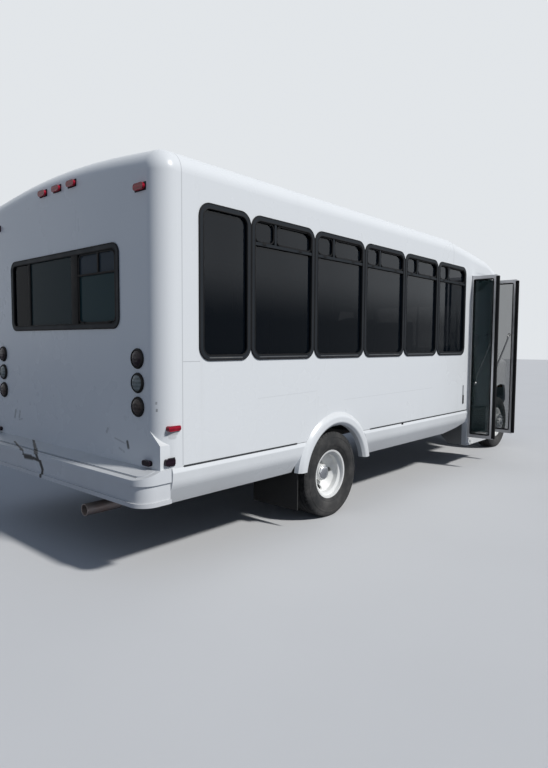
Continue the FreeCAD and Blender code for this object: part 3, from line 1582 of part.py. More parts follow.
def underneath():
    block = box("engine_mass", (front_axle - 180, front_axle + 380), (-280, 280), (S.rail_low, 1090))
    gearbox = box("gearbox", (front_axle - 700, front_axle - 179), (-150, 150), (420, 650))
    keep("engine", fuse("engine_block", block, gearbox))
    core = box("radiator_core", (front_end - 300, front_end - 240), (-380, 380), (S.rail_low + 40, 1040))
    keep("radiator", core)
    nose = rear_axle + 260
    shaft_line = [(front_axle - 701.3, 0, 470), (nose + 1.3, 0, S.tyre_radius + 6)]
    shaft = bent_tube("shaft", S.shaft_radius, shaft_line)
    keep("driveshaft", shaft)
    rail_side = S.rail_centre + S.rail_flange / 2
    tank_outline = rectangle((rail_side, 1000), (390, S.floor_bottom), 60)
    keep("fuel_tank", plate("tank", "x", (-700, 250), tank_outline))
    exhaust_line()
    flap = box("mud_flap", (rear_axle - 480, rear_axle - 470), (690, 1180), (150, 600))
    keep("mud_flaps", both("mud_flap_pair", flap))


def exhaust_line():
    """A pipe under the cross members with a silencer, and a wider tail pipe below the bumper."""
    y = -310
    hung = S.rail_low + 20 - S.exhaust_radius - 0.3
    tail_y, tail_z = -515, 352
    pipe = bent_tube("exhaust_pipe", S.exhaust_radius, [
        (front_axle - 500, -150.3, hung), (front_axle - 500, y, hung), (-2520, y, hung),
        (-2900, tail_y, tail_z), (rear_end + 200, tail_y, tail_z)])
    silencer = rod("silencer", "x", 85, (150, 850), y, hung - 25)
    tail = rod("tail_pipe", "x", S.tail_radius, (rear_end + 27, rear_end + 300), tail_y, tail_z)
    mouth = rod("tail_mouth", "x", S.tail_radius - 5, (rear_end, rear_end + 150), tail_y, tail_z)
    keep("exhaust", cut("exhaust_open", fuse("exhaust_set", pipe, silencer, tail), mouth))


def seats():
    """Rows of double seats: soft solids on plain frames."""
    cushions = []
    backs = []
    frames = []
    rows = [(row, side) for side, count in ((1, 6), (-1, 5)) for row in range(count)]
    for row, side in rows:
        x = rear_wall + 330 + row * 745
        name = f"{row}_{'left' if side > 0 else 'right'}"
        wide = sorted([side * 260, side * (inner_half - 20)], key=float)
        leg = sorted([side * 400, side * 560], key=float)
        tray = box(f"seat_tray_{name}", (x, x + 430), wide, (floor_top + 330, floor_top + 350))
        panel = box(f"seat_panel_{name}", (x - 20, x), wide, (floor_top + 330, floor_top + 980))
        post = box(f"seat_post_{name}", (x + 120, x + 300), leg, (floor_top, floor_top + 330))
        frames.append(fuse(f"seat_frame_{name}", tray, panel, post))
        high = (floor_top + 350.3, floor_top + 460)
        cushions.append(box(f"cushion_{name}", (x + 100, x + 440), wide, high))
        backs.append(box(f"back_{name}", (x + 0.3, x + 95), wide, (floor_top + 350.3, floor_top + 1000)))
    x = front_axle - 1250
    frames.append(box("driver_seat_base", (x + 40, x + 440), (300, 700), (floor_top, floor_top + 330)))
    high = (floor_top + 330.3, floor_top + 450)
    cushions.append(box("driver_cushion", (x + 90, x + 500), (270, 740), high))
    backs.append(box("driver_back", (x - 30, x + 85), (270, 740), (floor_top + 330.3, floor_top + 1000)))
    keep("seat_frames", group("seat_frame_set", *frames))
    keep("seat_pads", group("seat_pad_set", *cushions, *backs))


def cab_inside():
    top = S.belt - 5
    steering_place = FreeCAD.Placement(
        FreeCAD.Vector(float(cowl) - 480, 500, 1290), FreeCAD.Rotation(FreeCAD.Vector(0, 1, 0), -58))
    room = rod("column_room", "z", 24.3, (-200, 0), 0, 0)
    column_room = group("column_room_placed", room)
    column_room.Placement = steering_place
    inside = S.cab_half - S.cab_skin
    dash = plate("dash", "y", (-inside, inside), [
        (cowl - 420, 1080),
        (cowl - 250, 960),
        (cowl - 200, 960),
        (cowl - 110, top - 60),
        (cowl - 180, top, 20),
        (cowl - 380, top - 20, 60),
    ])
    door_room = box("dash_door_room", (cowl - 430, door_front + 8), (inside - 15, inside + 5), (900, 1400))
    cover = plate("engine_cover", "y", (-300, 240), [
        (2060, floor_top),
        (toe_board, floor_top),
        (toe_board, 1035, 20),
        (2150, 1035, 60),
        (2060, 900, 60),
    ])
    keep("dashboard", group("dash_and_cover", cut("dash_with_column", dash, column_room, door_room), cover))
    wheel = doc.addObject("Part::Torus", "steering_rim")
    wheel.Radius1 = 190
    wheel.Radius2 = 16
    hub = rod("steering_hub", "z", 45, (-30, 10), 0, 0)
    column = rod("steering_column", "z", 24, (-190, 0), 0, 0)
    spokes = [box("spokes_across", (-10, 10), (-190, 190), (-8, 8)),
              box("spokes_down", (-190, 0), (-12, 12), (-8, 8))]
    steering = fuse("steering_set", wheel, hub, column, *spokes)
    steering.Placement = steering_place
    keep("steering_wheel", steering)
    post_x = entry_rear - 90
    keep("grab_rails", group(
        "grab_rail_set",
        bent_tube("entry_rail", 16, [(post_x, -560, floor_top), (post_x, -560, 2650)]),
        bent_tube("entry_guard", 16, [(entry_front + 60, -700, floor_top), (entry_front + 60, -700, 2440)])))


rear_cap()
roof()
front_cap()
side_wall("side_wall_left", 1, cap_seam, cab_back - S.wall)
side_wall("side_wall_right", -1, cap_seam, entry_frame_rear)
shoulder_panels()
window_frames()
body_glass()
floor()
step_well()
entry_frame()
frame_rails()
leaf_springs()
rear_axle_set()
front_axle_set()
knuckle("knuckle_left", 1)
knuckle("knuckle_right", -1)
wheels()
skirts()
arch_flares()
bumpers()
lamps()
black_trim()
entry_leaves()
cab_shell()
cab_glass()
driver_door()
hood()
fenders()
fascia()
mirrors()
underneath()
seats()
cab_inside()

doc.recompute()
failed = [thing.Label for thing in doc.Objects if {"Invalid", "Error"} & set(thing.State)]
for name, thing in NODES.items():
    if thing.Shape.isNull() or not thing.Shape.isValid():
        failed.append(name)
if failed:
    raise RuntimeError("These pieces failed: " + ", ".join(failed))

os.makedirs("parts", exist_ok=True)
for name, thing in NODES.items():
    thing.Shape.exportStep(os.path.join("parts", name + ".step"))
print(len(NODES), "pieces written")
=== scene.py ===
import math

import bmesh
import bpy
from mathutils import Matrix, Vector


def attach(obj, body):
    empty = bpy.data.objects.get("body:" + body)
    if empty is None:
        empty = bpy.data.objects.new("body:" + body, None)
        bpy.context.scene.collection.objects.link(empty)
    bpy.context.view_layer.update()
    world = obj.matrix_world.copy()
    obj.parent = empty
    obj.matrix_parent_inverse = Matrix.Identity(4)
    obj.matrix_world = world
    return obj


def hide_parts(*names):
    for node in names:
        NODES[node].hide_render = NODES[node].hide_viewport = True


# A white cutaway shuttle minibus. Metres: +X points forward, +Y to the driver's side, +Z up.

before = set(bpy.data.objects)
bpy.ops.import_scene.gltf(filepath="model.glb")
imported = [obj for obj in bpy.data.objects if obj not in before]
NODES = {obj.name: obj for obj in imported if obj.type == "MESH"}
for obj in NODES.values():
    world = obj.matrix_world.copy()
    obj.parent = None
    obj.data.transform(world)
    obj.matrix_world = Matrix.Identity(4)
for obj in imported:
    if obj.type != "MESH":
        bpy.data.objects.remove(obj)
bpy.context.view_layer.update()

# Places on the bus
REAR_WALL = -3.4775
REAR_AXLE = -1.6125
FRONT_AXLE = 2.8575
HALF_WIDTH = 1.22
AXLE_HEIGHT = 0.372
TWIN_TYRES = (1.0775, 0.8125)
FRONT_TYRE = 0.862
SPRING_LINE = 0.515
FIRST_WINDOW = 0.486
WINDOW_PITCH = 0.736
FIRST_ROW = REAR_WALL + 0.330
ROW_PITCH = 0.745
DRIVER_SEAT = 1.6075
LEDGE_FROM = 0.6575
FACE_UP_TO = 0.6600
SIDES = {"left": 1, "right": -1}


# Shader maths

class Field:
    """A value or colour that varies over a surface. Operators on values add Math nodes."""

    def __init__(self, shade, socket):
        self.shade = shade
        self.socket = socket

    def math(self, operation, *others):
        values = dict(enumerate((self, *others)))
        return self.shade.node("ShaderNodeMath", {"operation": operation}, values)

    def __add__(self, other):
        return self.math("ADD", other)

    __radd__ = __add__

    def __mul__(self, other):
        return self.math("MULTIPLY", other)

    __rmul__ = __mul__

    def __sub__(self, other):
        return self.math("SUBTRACT", other)

    def __rsub__(self, other):
        return self.shade.node("ShaderNodeMath", {"operation": "SUBTRACT"}, {0: other, 1: self})

    def __truediv__(self, other):
        return self.math("DIVIDE", other)

    def __gt__(self, other):
        return self.math("GREATER_THAN", other)

    def __lt__(self, other):
        return self.math("LESS_THAN", other)

    def __abs__(self):
        return self.math("ABSOLUTE")

    def least(self, other):
        return self.math("MINIMUM", other)

    def most(self, other):
        return self.math("MAXIMUM", other)

    def sine(self):
        return self.math("SINE")

    def root(self):
        return self.math("SQRT")

    def between(self, low, high):
        """A smooth step from 0 at low to 1 at high; low may be the higher one."""
        values = {"Value": self, "From Min": low, "From Max": high}
        return self.shade.node("ShaderNodeMapRange", {"interpolation_type": "SMOOTHSTEP"}, values)


class Nodes:
    """The node tree of a material or of the world."""

    def __init__(self, owner):
        owner.use_nodes = True
        self.tree = owner.node_tree

    def feed(self, socket, value):
        """Links a field into a socket, or sets the socket's own value."""
        if isinstance(value, Field):
            self.tree.links.new(value.socket, socket)
        elif isinstance(value, (tuple, list)) and socket.type == "RGBA" and len(value) == 3:
            socket.default_value = (*value, 1)
        else:
            socket.default_value = value

    def node(self, kind, settings=None, values=None, output=0):
        """Adds one node: its settings first, then its sockets by name or number."""
        made = self.tree.nodes.new(kind)
        for name, setting in (settings or {}).items():
            setattr(made, name, setting)
        for name, value in (values or {}).items():
            self.feed(made.inputs[name], value)
        return Field(self, made.outputs[output])


class Shade(Nodes):
    """A material whose surface is one Principled shader, with the nodes that feed it."""

    def __init__(self, name, **surface):
        self.material = bpy.data.materials.new(name)
        super().__init__(self.material)
        self.surface = self.tree.nodes["Principled BSDF"]
        self.place = self.node("ShaderNodeTexCoord", output="Object")
        self.set(**surface)

    def set(self, **surface):
        """Feeds the shader's sockets by name, with an underscore for each space."""
        for socket, value in surface.items():
            self.feed(self.surface.inputs[socket.replace("_", " ")], value)
        return self

    def axis(self, letter):
        """One coordinate of the surface's place, in metres."""
        return self.node("ShaderNodeSeparateXYZ", None, {"Vector": self.place}, letter.upper())

    def spread(self, scale):
        """The surface's place, stretched by a factor along each axis."""
        return self.node("ShaderNodeVectorMath", {"operation": "MULTIPLY"}, {0: self.place, 1: scale})

    def noise(self, scale, detail, roughness=0.5, at=None):
        """Cloudy noise of a scale, from 0 to 1."""
        values = {"Vector": at or self.place, "Scale": scale, "Detail": detail, "Roughness": roughness}
        return self.node("ShaderNodeTexNoise", None, values, "Fac")

    def cells(self, scale):
        """The distance to the nearest of many scattered points."""
        return self.node("ShaderNodeTexVoronoi", {"feature": "F1"},
                         {"Vector": self.place, "Scale": scale}, "Distance")

    def mix(self, share, first, second):
        """A colour between two colours."""
        return self.node("ShaderNodeMix", {"data_type": "RGBA"}, {0: share, 6: first, 7: second}, 2)

    def bump(self, height, distance, strength):
        """Raises the surface by a height field, and gives back the shade."""
        normal = self.node("ShaderNodeBump", None,
                           {"Height": height, "Distance": distance, "Strength": strength})
        return self.set(Normal=normal)


# Materials

WHITE = (0.79, 0.82, 0.84)
# The colour of dust and grime; on the white paint it also colours the painted shade low down.
GRIME_AND_SHADE = (0.30, 0.28, 0.25)
RUST = (0.22, 0.09, 0.04)


def stroke(first, second, start, end, width):
    """A soft scratch between two points of a face, on the two given coordinates."""
    (ax, ay), (bx, by) = start, end
    along = (bx - ax, by - ay)
    run = along[0] ** 2 + along[1] ** 2
    share = ((first - ax) * along[0] + (second - ay) * along[1]) / run
    share = share.most(0.0).least(1.0)
    across = first - (share * along[0] + ax)
    up = second - (share * along[1] + ay)
    return (across * across + up * up).root().between(width, width * 0.4)


def line_on(field, at, width):
    """A thin line across a surface where a coordinate has one value."""
    return abs(field - at).between(width, width * 0.3)


def strongest(masks):
    """The highest of some masks at each place."""
    top, *others = masks
    for mask in others:
        top = top.most(mask)
    return top


def weathered_paint(name, colour=WHITE, marks=(), seams=(), cracks=()):
    """Gloss white over fibreglass: faint ripple, settled dust, rain streaks, seams, scuffs, splits and
    painted shade low down.
    """
    shade = Shade(name, Coat_Weight=0.08, Coat_Roughness=0.2, Specular_IOR_Level=0.35)
    x, y, z = shade.axis("x"), shade.axis("y"), shade.axis("z")
    normal = shade.node("ShaderNodeNewGeometry", output="Normal")
    level = shade.node("ShaderNodeSeparateXYZ", None, {"Vector": normal}, "Z").between(0.25, 0.8)
    at_rear = x < REAR_WALL + 0.05
    cloud = shade.noise(1.3, 4, 0.6)
    fine = shade.noise(42, 3, 0.6)
    streaks = shade.noise(1.0, 3, 0.55, at=shade.spread((9.0, 9.0, 0.45)))
    low = z.between(1.0, 0.42) * cloud.between(0.3, 0.75)
    rain = streaks.between(0.60, 0.80) * 0.06
    settled = level * (cloud.between(0.2, 0.8) * 0.06 + z.between(1.2, 0.8) * 0.20 + 0.02)
    # Painted shade: below about 0.62 m, where the skirts curve under, the paint is darkened; it goes into
    # dust with the real dirt.
    painted_low_shade = z.between(0.62, 0.36) * 0.18
    dust = (low * 0.17 + rain + settled + painted_low_shade + fine.between(0.62, 0.8) * 0.03).least(1.0)
    base = shade.mix(dust, colour, GRIME_AND_SHADE)
    base = shade.mix(cloud.between(0.45, 0.8) * 0.10, base, (0.70, 0.74, 0.78))
    height = shade.noise(0.9, 1) * 0.5 + shade.noise(160, 2) * 0.008

    def scuff(where, start, end, width, strength):
        first, here = (y, at_rear) if where == "rear" else (x, y < -1.0)
        return stroke(first, z, start, end, width) * here * strength

    def seam(letter, at, width, strength, other, start, end):
        along = shade.axis(other)
        return line_on(shade.axis(letter), at, width) * (along > start) * (along < end) * strength

    def crack(where, start, end, width):
        other, here = (x, z > LEDGE_FROM) if where == "ledge" else (z, (z < FACE_UP_TO) * at_rear)
        return stroke(y, other, start, end, width) * here

    if marks:
        worn = strongest(scuff(*mark) for mark in marks)
        base = shade.mix(worn * fine.between(0.25, 0.45), base, (0.07, 0.07, 0.068))
    if seams:
        joint = strongest(seam(*line) for line in seams)
        base = shade.mix(joint, base, (0.13, 0.14, 0.155))
        height = height - joint * 0.6
    if cracks:
        split = strongest(crack(*line) for line in cracks)
        base = shade.mix(split, base, (0.012, 0.012, 0.013))
        height = height - split
    shade.set(Base_Color=base, Roughness=cloud.between(0.2, 0.9) * 0.12 + dust * 0.35 + 0.24)
    return shade.bump(height, 0.002, 0.5).material


def plain_paint(name, colour, roughness, dirt, dirt_colour=GRIME_AND_SHADE, **surface):
    """A painted or moulded surface with mottled wear and settled dust."""
    shade = Shade(name, **surface)
    cloud = shade.noise(6, 5, 0.65)
    grain = shade.noise(180, 2)
    worn = cloud.between(0.48, 0.75) * dirt
    shade.set(Base_Color=shade.mix(worn, colour, dirt_colour),
              Roughness=cloud.between(0.2, 0.8) * 0.18 + roughness)
    return shade.bump(cloud * 0.3 + grain * 0.1, 0.0012, 0.4).material


def tinted_glass(name, colour, alpha, gloss):
    """Dark film on glass, glossy, with faint smears."""
    shade = Shade(name, IOR=1.5, Specular_IOR_Level=gloss)
    smear = shade.noise(5, 4, 0.7, at=shade.spread((1.0, 1.0, 0.5)))
    dusty = smear.between(0.5, 0.85) * 0.25
    shade.set(Base_Color=shade.mix(dusty, colour, (0.05, 0.055, 0.06)),
              Roughness=dusty * 0.25 + 0.03,
              Alpha=dusty * 0.12 + alpha)
    return shade


def window_film():
    """The passenger windows: a pale sheen above, black below, and clearer panes in the rear window."""
    shade = tinted_glass("tinted_glass", (0.003, 0.005, 0.008), 0.86, gloss=0.04)
    x, y, z = shade.axis("x"), shade.axis("y"), shade.axis("z")
    rear = x < REAR_WALL + 0.06
    middle = rear * (y > -0.18) * (y < 0.455)
    right = rear * (y < -0.28)
    film = shade.mix(middle, (0.003, 0.005, 0.008), (0.026, 0.050, 0.055))
    film = shade.mix(right, film, (0.034, 0.074, 0.080))
    film = shade.mix(right * (z > 1.985), film, (0.055, 0.074, 0.092))
    patchy = shade.noise(0.7, 2).between(0.15, 0.7)
    sheen = z.between(1.72, 2.03) * patchy * 0.25 + z.between(1.66, 2.10) * 0.6
    shade.set(Base_Color=film, Coat_Weight=(sheen + 0.02) * (1.0 - rear), Coat_Roughness=0.02,
              Coat_Tint=(0.86, 0.93, 1.0, 1.0))
    return shade.material


def lens(name, colour, shaded_colour, ribs=260.0):
    """A moulded lamp lens with a ribbed inner face; the ones low on the rear get a darker colour, painted
    shade.
    """
    shade = Shade(name, Coat_Roughness=0.08, Specular_IOR_Level=0.25)
    x, z = shade.axis("x"), shade.axis("z")
    wave = (z * ribs).sine() * 0.5 + 0.5
    depth = shade.noise(30, 2)
    # Painted shade: lenses on the rear below the roof line, and those low by the rear corners, take the
    # shaded colour and less coat.
    low = ((x < REAR_WALL + 0.05) * (z < 2.0)).most((x < REAR_WALL + 0.11) * (z < 0.85))
    shown = shade.mix(low, colour, shaded_colour)
    dark = shade.mix(low, *(tuple(channel * 0.35 for channel in each) for each in (colour, shaded_colour)))
    shade.set(Base_Color=shade.mix(wave * 0.5 + depth.between(0.3, 0.7) * 0.3, dark, shown),
              Roughness=depth * 0.1 + 0.2, Coat_Weight=0.22 - low * 0.21)
    return shade.bump(wave, 0.0008, 0.25).material


def tyre_rubber(name):
    """Worn tyre rubber with a dusty grey bloom and fine moulding lines."""
    shade = Shade(name, Specular_IOR_Level=0.35)
    cloud = shade.noise(9, 4, 0.6)
    dust = cloud.between(0.35, 0.8) * 0.5 + shade.axis("z").between(0.2, 0.0) * 0.35
    shade.set(Base_Color=shade.mix(dust, (0.026, 0.027, 0.028), (0.125, 0.12, 0.115)),
              Roughness=cloud * 0.15 + 0.72)
    return shade.bump(shade.noise(220, 2) * 0.4 + cloud * 0.2, 0.001, 0.4).material


def bare_metal(name, colour, roughness, brushed, stain, stain_colour=GRIME_AND_SHADE):
    """Brushed or drawn metal with a directional grain and some staining."""
    shade = Shade(name)
    grain = shade.noise(14, 3, 0.6, at=shade.spread(brushed))
    cloud = shade.noise(5, 4, 0.6)
    shade.set(Base_Color=shade.mix(cloud.between(0.5, 0.8) * stain, colour, stain_colour),
              Metallic=1.0 - cloud.between(0.5, 0.8) * stain,
              Roughness=grain * 0.16 + roughness)
    return shade.bump(grain, 0.0004, 0.4).material


def rusted_iron(name, colour, rust):
    """Dark chassis iron with rust blooms and road dust on top."""
    shade = Shade(name)
    bloom = shade.noise(11, 6, 0.7)
    fine = shade.noise(70, 3, 0.6)
    red = bloom.between(0.5, 0.7) * rust
    base = shade.mix(red, colour, RUST)
    base = shade.mix(fine.between(0.5, 0.8) * 0.35, base, (0.17, 0.155, 0.135))
    shade.set(Base_Color=base, Metallic=(1.0 - red) * 0.3, Roughness=bloom * 0.2 + 0.58)
    return shade.bump(bloom * 0.6 + fine * 0.4, 0.002, 0.5).material


def woven_cloth(name, colour, thread, scale=1500.0):
    """Seat cloth: an over-and-under weave, lighter threads and a few flecks."""
    shade = Shade(name, Sheen_Weight=0.25, Sheen_Roughness=0.5)
    warp = (shade.axis("x") * scale).sine()
    weft = ((shade.axis("y") + shade.axis("z")) * scale).sine()
    weave = (warp * weft) * 0.5 + 0.5
    fleck = shade.cells(240).between(0.25, 0.1) * 0.5
    wear = shade.noise(7, 4, 0.6)
    base = shade.mix(weave * 0.55 + fleck * 0.4, colour, thread)
    base = shade.mix(wear.between(0.5, 0.8) * 0.3, base, (0.20, 0.20, 0.20))
    shade.set(Base_Color=base, Roughness=wear * 0.1 + 0.82)
    return shade.bump(weave, 0.0004, 0.6).material


def ribbed_floor(name, colour=(0.055, 0.058, 0.062)):
    """Rubber floor covering with ribs along the aisle and scuffed dust between them."""
    shade = Shade(name)
    ribs = (shade.axis("y") * 330.0).sine().between(-0.2, 0.5)
    dust = shade.noise(4, 5, 0.65)
    base = shade.mix((1.0 - ribs) * dust.between(0.3, 0.7) * 0.6, colour, (0.17, 0.16, 0.145))
    shade.set(Base_Color=base, Roughness=dust * 0.2 + 0.6)
    return shade.bump(ribs, 0.0015, 0.6).material


def grained_plastic(name, colour, roughness):
    """Moulded plastic with a leather-like grain and faded edges."""
    shade = Shade(name)
    grain = shade.cells(260)
    fade = shade.noise(4, 4, 0.6)
    pale = tuple(channel * 1.9 + 0.02 for channel in colour)
    shade.set(Base_Color=shade.mix(fade.between(0.4, 0.8) * 0.4, colour, pale),
              Roughness=fade * 0.15 + roughness)
    return shade.bump(grain, 0.0006, 0.5).material


# Mesh helpers

def piece(name, vertices, faces, look, body, slot, replaces=(), flat_angle=35):
    """A mesh of the scene's own that rides on a body of the bus."""
    mesh = bpy.data.meshes.new(name)
    mesh.from_pydata([tuple(v) for v in vertices], [], faces)
    mesh.validate()
    mesh.materials.append(LOOKS[look])
    made = bpy.data.objects.new(name, mesh)
    bpy.context.scene.collection.objects.link(made)
    work = bmesh.new()
    work.from_mesh(mesh)
    bmesh.ops.recalc_face_normals(work, faces=work.faces)
    work.to_mesh(mesh)
    work.free()
    mesh.shade_smooth()
    mesh.set_sharp_from_angle(angle=math.radians(flat_angle))
    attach(made, body)
    if replaces:
        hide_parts(*replaces)
    return made


SPIN_WAYS = {
    "x": ((0, 1, 0), (0, 0, 1), (1, 0, 0)),
    "y": ((1, 0, 0), (0, 0, 1), (0, 1, 0)),
    "z": ((1, 0, 0), (0, 1, 0), (0, 0, 1)),
}


class Parts:
    """Gathers the vertices and faces of one piece from simple forms."""

    def __init__(self):
        self.vertices = []
        self.faces = []

    def add(self, vertices, faces):
        """Adds vertices, and faces that number them from 0."""
        first = len(self.vertices)
        self.vertices += [Vector(v) for v in vertices]
        self.faces += [[first + i for i in face] for face in faces]
        return self

    def rings(self, rows, closed=True, loop=False):
        """Skin over rows of as many points each. Closed rows get end caps, or loop joins last to first."""
        count, total = len(rows[0]), len(rows)
        faces = []
        for i in range(total if loop else total - 1):
            here, after = i * count, (i + 1) % total * count
            for j in range(count if closed else count - 1):
                k = (j + 1) % count
                faces.append([here + j, here + k, after + k, after + j])
        if closed and not loop:
            faces += [list(range(count))[::-1], [(total - 1) * count + j for j in range(count)]]
        return self.add([point for row in rows for point in row], faces)

    def block(self, low, high, soft):
        """A block with its long edges eased, along its longest side."""
        low, high = Vector(low), Vector(high)
        size = high - low
        way = max(range(3), key=lambda i: size[i])
        one, two = [i for i in range(3) if i != way]
        soft = min(soft, size[one] * 0.45, size[two] * 0.45)
        outline = []
        for corner_one, corner_two in ((1, 1), (0, 1), (0, 0), (1, 0)):
            centre = ((high if corner_one else low)[one] + (-soft if corner_one else soft),
                      (high if corner_two else low)[two] + (-soft if corner_two else soft))
            start = {(1, 1): 0, (0, 1): 90, (0, 0): 180, (1, 0): 270}[(corner_one, corner_two)]
            for step in (0, 45, 90):
                angle = math.radians(start + step)
                outline.append((centre[0] + soft * math.cos(angle), centre[1] + soft * math.sin(angle)))
        rings = []
        middle = ((low[one] + high[one]) / 2, (low[two] + high[two]) / 2)
        ends = ((low[way], soft), (low[way] + soft, 0), (high[way] - soft, 0), (high[way], soft))
        for at, shrink in ends:
            ring = []
            for a, b in outline:
                point = [0, 0, 0]
                point[way] = at
                point[one] = a - shrink * (1 if a > middle[0] else -1)
                point[two] = b - shrink * (1 if b > middle[1] else -1)
                ring.append(point)
            rings.append(ring)
        return self.rings(rings)

    def spun(self, profile, centre, axis, steps):
        """A profile of (radius, along) turned about an axis through a centre."""
        one, two, along = (Vector(way) for way in SPIN_WAYS[axis])
        rows = []
        for i in range(steps):
            angle = 2 * math.pi * i / steps
            out = one * math.cos(angle) + two * math.sin(angle)
            rows.append([Vector(centre) + out * radius + along * at for radius, at in profile])
        return self.rings(rows, loop=True)

    def tube(self, points, radius, sides, flat=1.0):
        """A tube along a line of points; flat squeezes it along its second side."""
        points = [Vector(p) for p in points]
        rings = []
        up = Vector((0, 0, 1))
        for i, point in enumerate(points):
            ahead = points[min(i + 1, len(points) - 1)] - points[max(i - 1, 0)]
            ahead.normalize()
            side = ahead.cross(up)
            if side.length < 0.1:
                side = ahead.cross(Vector((1, 0, 0)))
            side.normalize()
            lift = side.cross(ahead)
            up = lift
            rings.append([point + side * (radius * math.cos(a)) + lift * (radius * flat * math.sin(a))
                          for a in (2 * math.pi * k / sides for k in range(sides))])
        return self.rings(rings)

    def strip(self, outline, section):
        """A section of (outward, proud) carried round an outline of (point, outward, proud way)."""
        rows = [[point + out * a + face * b for a, b in section] for point, out, face in outline]
        return self.rings(rows, loop=True)

    def mirrored(self):
        """Adds the same forms on the bus's other side."""
        flipped = [Vector((v.x, -v.y, v.z)) for v in self.vertices]
        return self.add(flipped, [face[::-1] for face in self.faces])

    def turned(self, matrix):
        """Moves everything gathered so far."""
        self.vertices = [matrix @ v for v in self.vertices]
        return self

    def make(self, name, look, body, slot, **more):
        """Turns what is gathered into one piece."""
        return piece(name, self.vertices, self.faces, look, body, slot, **more)


def disc(low, high, radius):
    """The profile of a plain disc between two places on its axis."""
    return [(0.0005, low), (radius, low), (radius, high), (0.0005, high)]


def smooth_line(points, steps=8):
    """Points along a soft curve through the given ones."""
    points = [Vector(p) for p in points]
    if len(points) < 3:
        return points
    line = []
    ends = [points[0] * 2 - points[1]] + points + [points[-1] * 2 - points[-2]]
    for a, b, c, d in zip(ends, ends[1:], ends[2:], ends[3:]):
        for i in range(steps):
            t = i / steps
            line.append(0.5 * (b * 2 + (c - a) * t + (a * 2 - b * 5 + c * 4 - d) * t * t
                               + (b * 3 - a - c * 3 + d) * t ** 3))
    return line + [points[-1]]


def eased_outline(corners, radius, place, arc=6):
    """A polygon with round corners as (point, outward, proud way) rows; place turns (a, b) into a point."""
    corners = [Vector(corner) for corner in corners]
    origin, across, up = place(0, 0), place(1, 0), place(0, 1)
    across, up = across - origin, up - origin
    face = across.cross(up).normalized()
    rows = []
    for i, corner in enumerate(corners):
        back = (corners[i - 1] - corner).normalized()
        ahead = (corners[(i + 1) % len(corners)] - corner).normalized()
        half = back.angle(ahead) / 2
        centre = corner + (back + ahead).normalized() * (radius / math.sin(half))
        first = (corner + back * (radius / math.tan(half)) - centre).normalized()
        last = (corner + ahead * (radius / math.tan(half)) - centre).normalized()
        for step in range(arc + 1):
            way = first.slerp(last, step / arc)
            spot = centre + way * radius
            rows.append((place(spot.x, spot.y), across * way.x + up * way.y, face))
    return rows


def eased_rectangle(across, up, radius, place, arc=6):
    """The same for a rectangle, from its extents across and up."""
    (a0, a1), (b0, b1) = across, up
    return eased_outline([(a1, b1), (a0, b1), (a0, b0), (a1, b0)], radius, place, arc)


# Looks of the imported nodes

BODY_MARKS = (
    ("rear", (-0.856, 0.852), (-0.868, 0.815), 0.017, 0.95),
    ("rear", (-0.628, 0.915), (-0.612, 0.893), 0.016, 0.30),
    ("rear", (-0.71, 0.862), (-0.83, 0.838), 0.008, 0.30),
    ("rear", (-0.76, 0.800), (-0.82, 0.780), 0.010, 0.25),
    ("rear", (0.70, 0.925), (0.715, 0.880), 0.020, 0.40),
    ("rear", (0.775, 0.93), (0.80, 0.87), 0.018, 0.50),
    ("rear", (0.66, 0.868), (0.72, 0.855), 0.010, 0.30),
    ("side", (-3.4615, 1.134), (-3.4620, 1.122), 0.0045, 0.45),
    ("side", (-3.4600, 1.090), (-3.4605, 1.076), 0.0045, 0.55),
    ("side", (-3.408, 0.940), (-3.362, 0.944), 0.030, 0.42),
    ("side", (-3.395, 0.915), (-3.375, 0.915), 0.024, 0.25),
    ("side", (-2.6, 1.105), (-1.9, 1.120), 0.004, 0.10),
    ("side", (-1.5, 1.020), (0.2, 1.035), 0.004, 0.10),
)
BODY_SEAMS = (
    ("x", -3.3065, 0.0045, 0.38, "z", 0.72, 3.0),
    ("x", 0.6495, 0.0045, 0.40, "z", 2.42, 3.0),
    ("z", 1.386, 0.0035, 0.40, "x", -3.3065, -3.16),
    ("x", 1.150, 0.0030, 0.20, "z", 0.72, 2.42),
)
BUMPER_CRACKS = (
    ("ledge", (0.490, -3.470), (0.368, -3.520), 0.0120),
    ("ledge", (0.368, -3.520), (0.235, -3.575), 0.0150),
    ("ledge", (0.235, -3.575), (0.110, -3.632), 0.0200),
    ("ledge", (0.655, -3.551), (0.407, -3.612), 0.0085),
    ("ledge", (0.407, -3.612), (0.336, -3.632), 0.0150),
    ("face", (0.120, 0.664), (0.088, 0.618), 0.0240),
    ("face", (0.088, 0.618), (0.046, 0.552), 0.0270),
    ("face", (0.046, 0.552), (0.058, 0.500), 0.0240),
    ("face", (0.058, 0.500), (0.066, 0.452), 0.0170),
    ("face", (0.106, 0.618), (0.200, 0.624), 0.0220),
    ("face", (0.200, 0.624), (0.330, 0.618), 0.0300),
    ("face", (0.330, 0.628), (0.338, 0.664), 0.0120),
)
BUMPER_SEAMS = (
    ("x", -3.593, 0.0075, 0.80, "y", -1.12, 1.12),
)

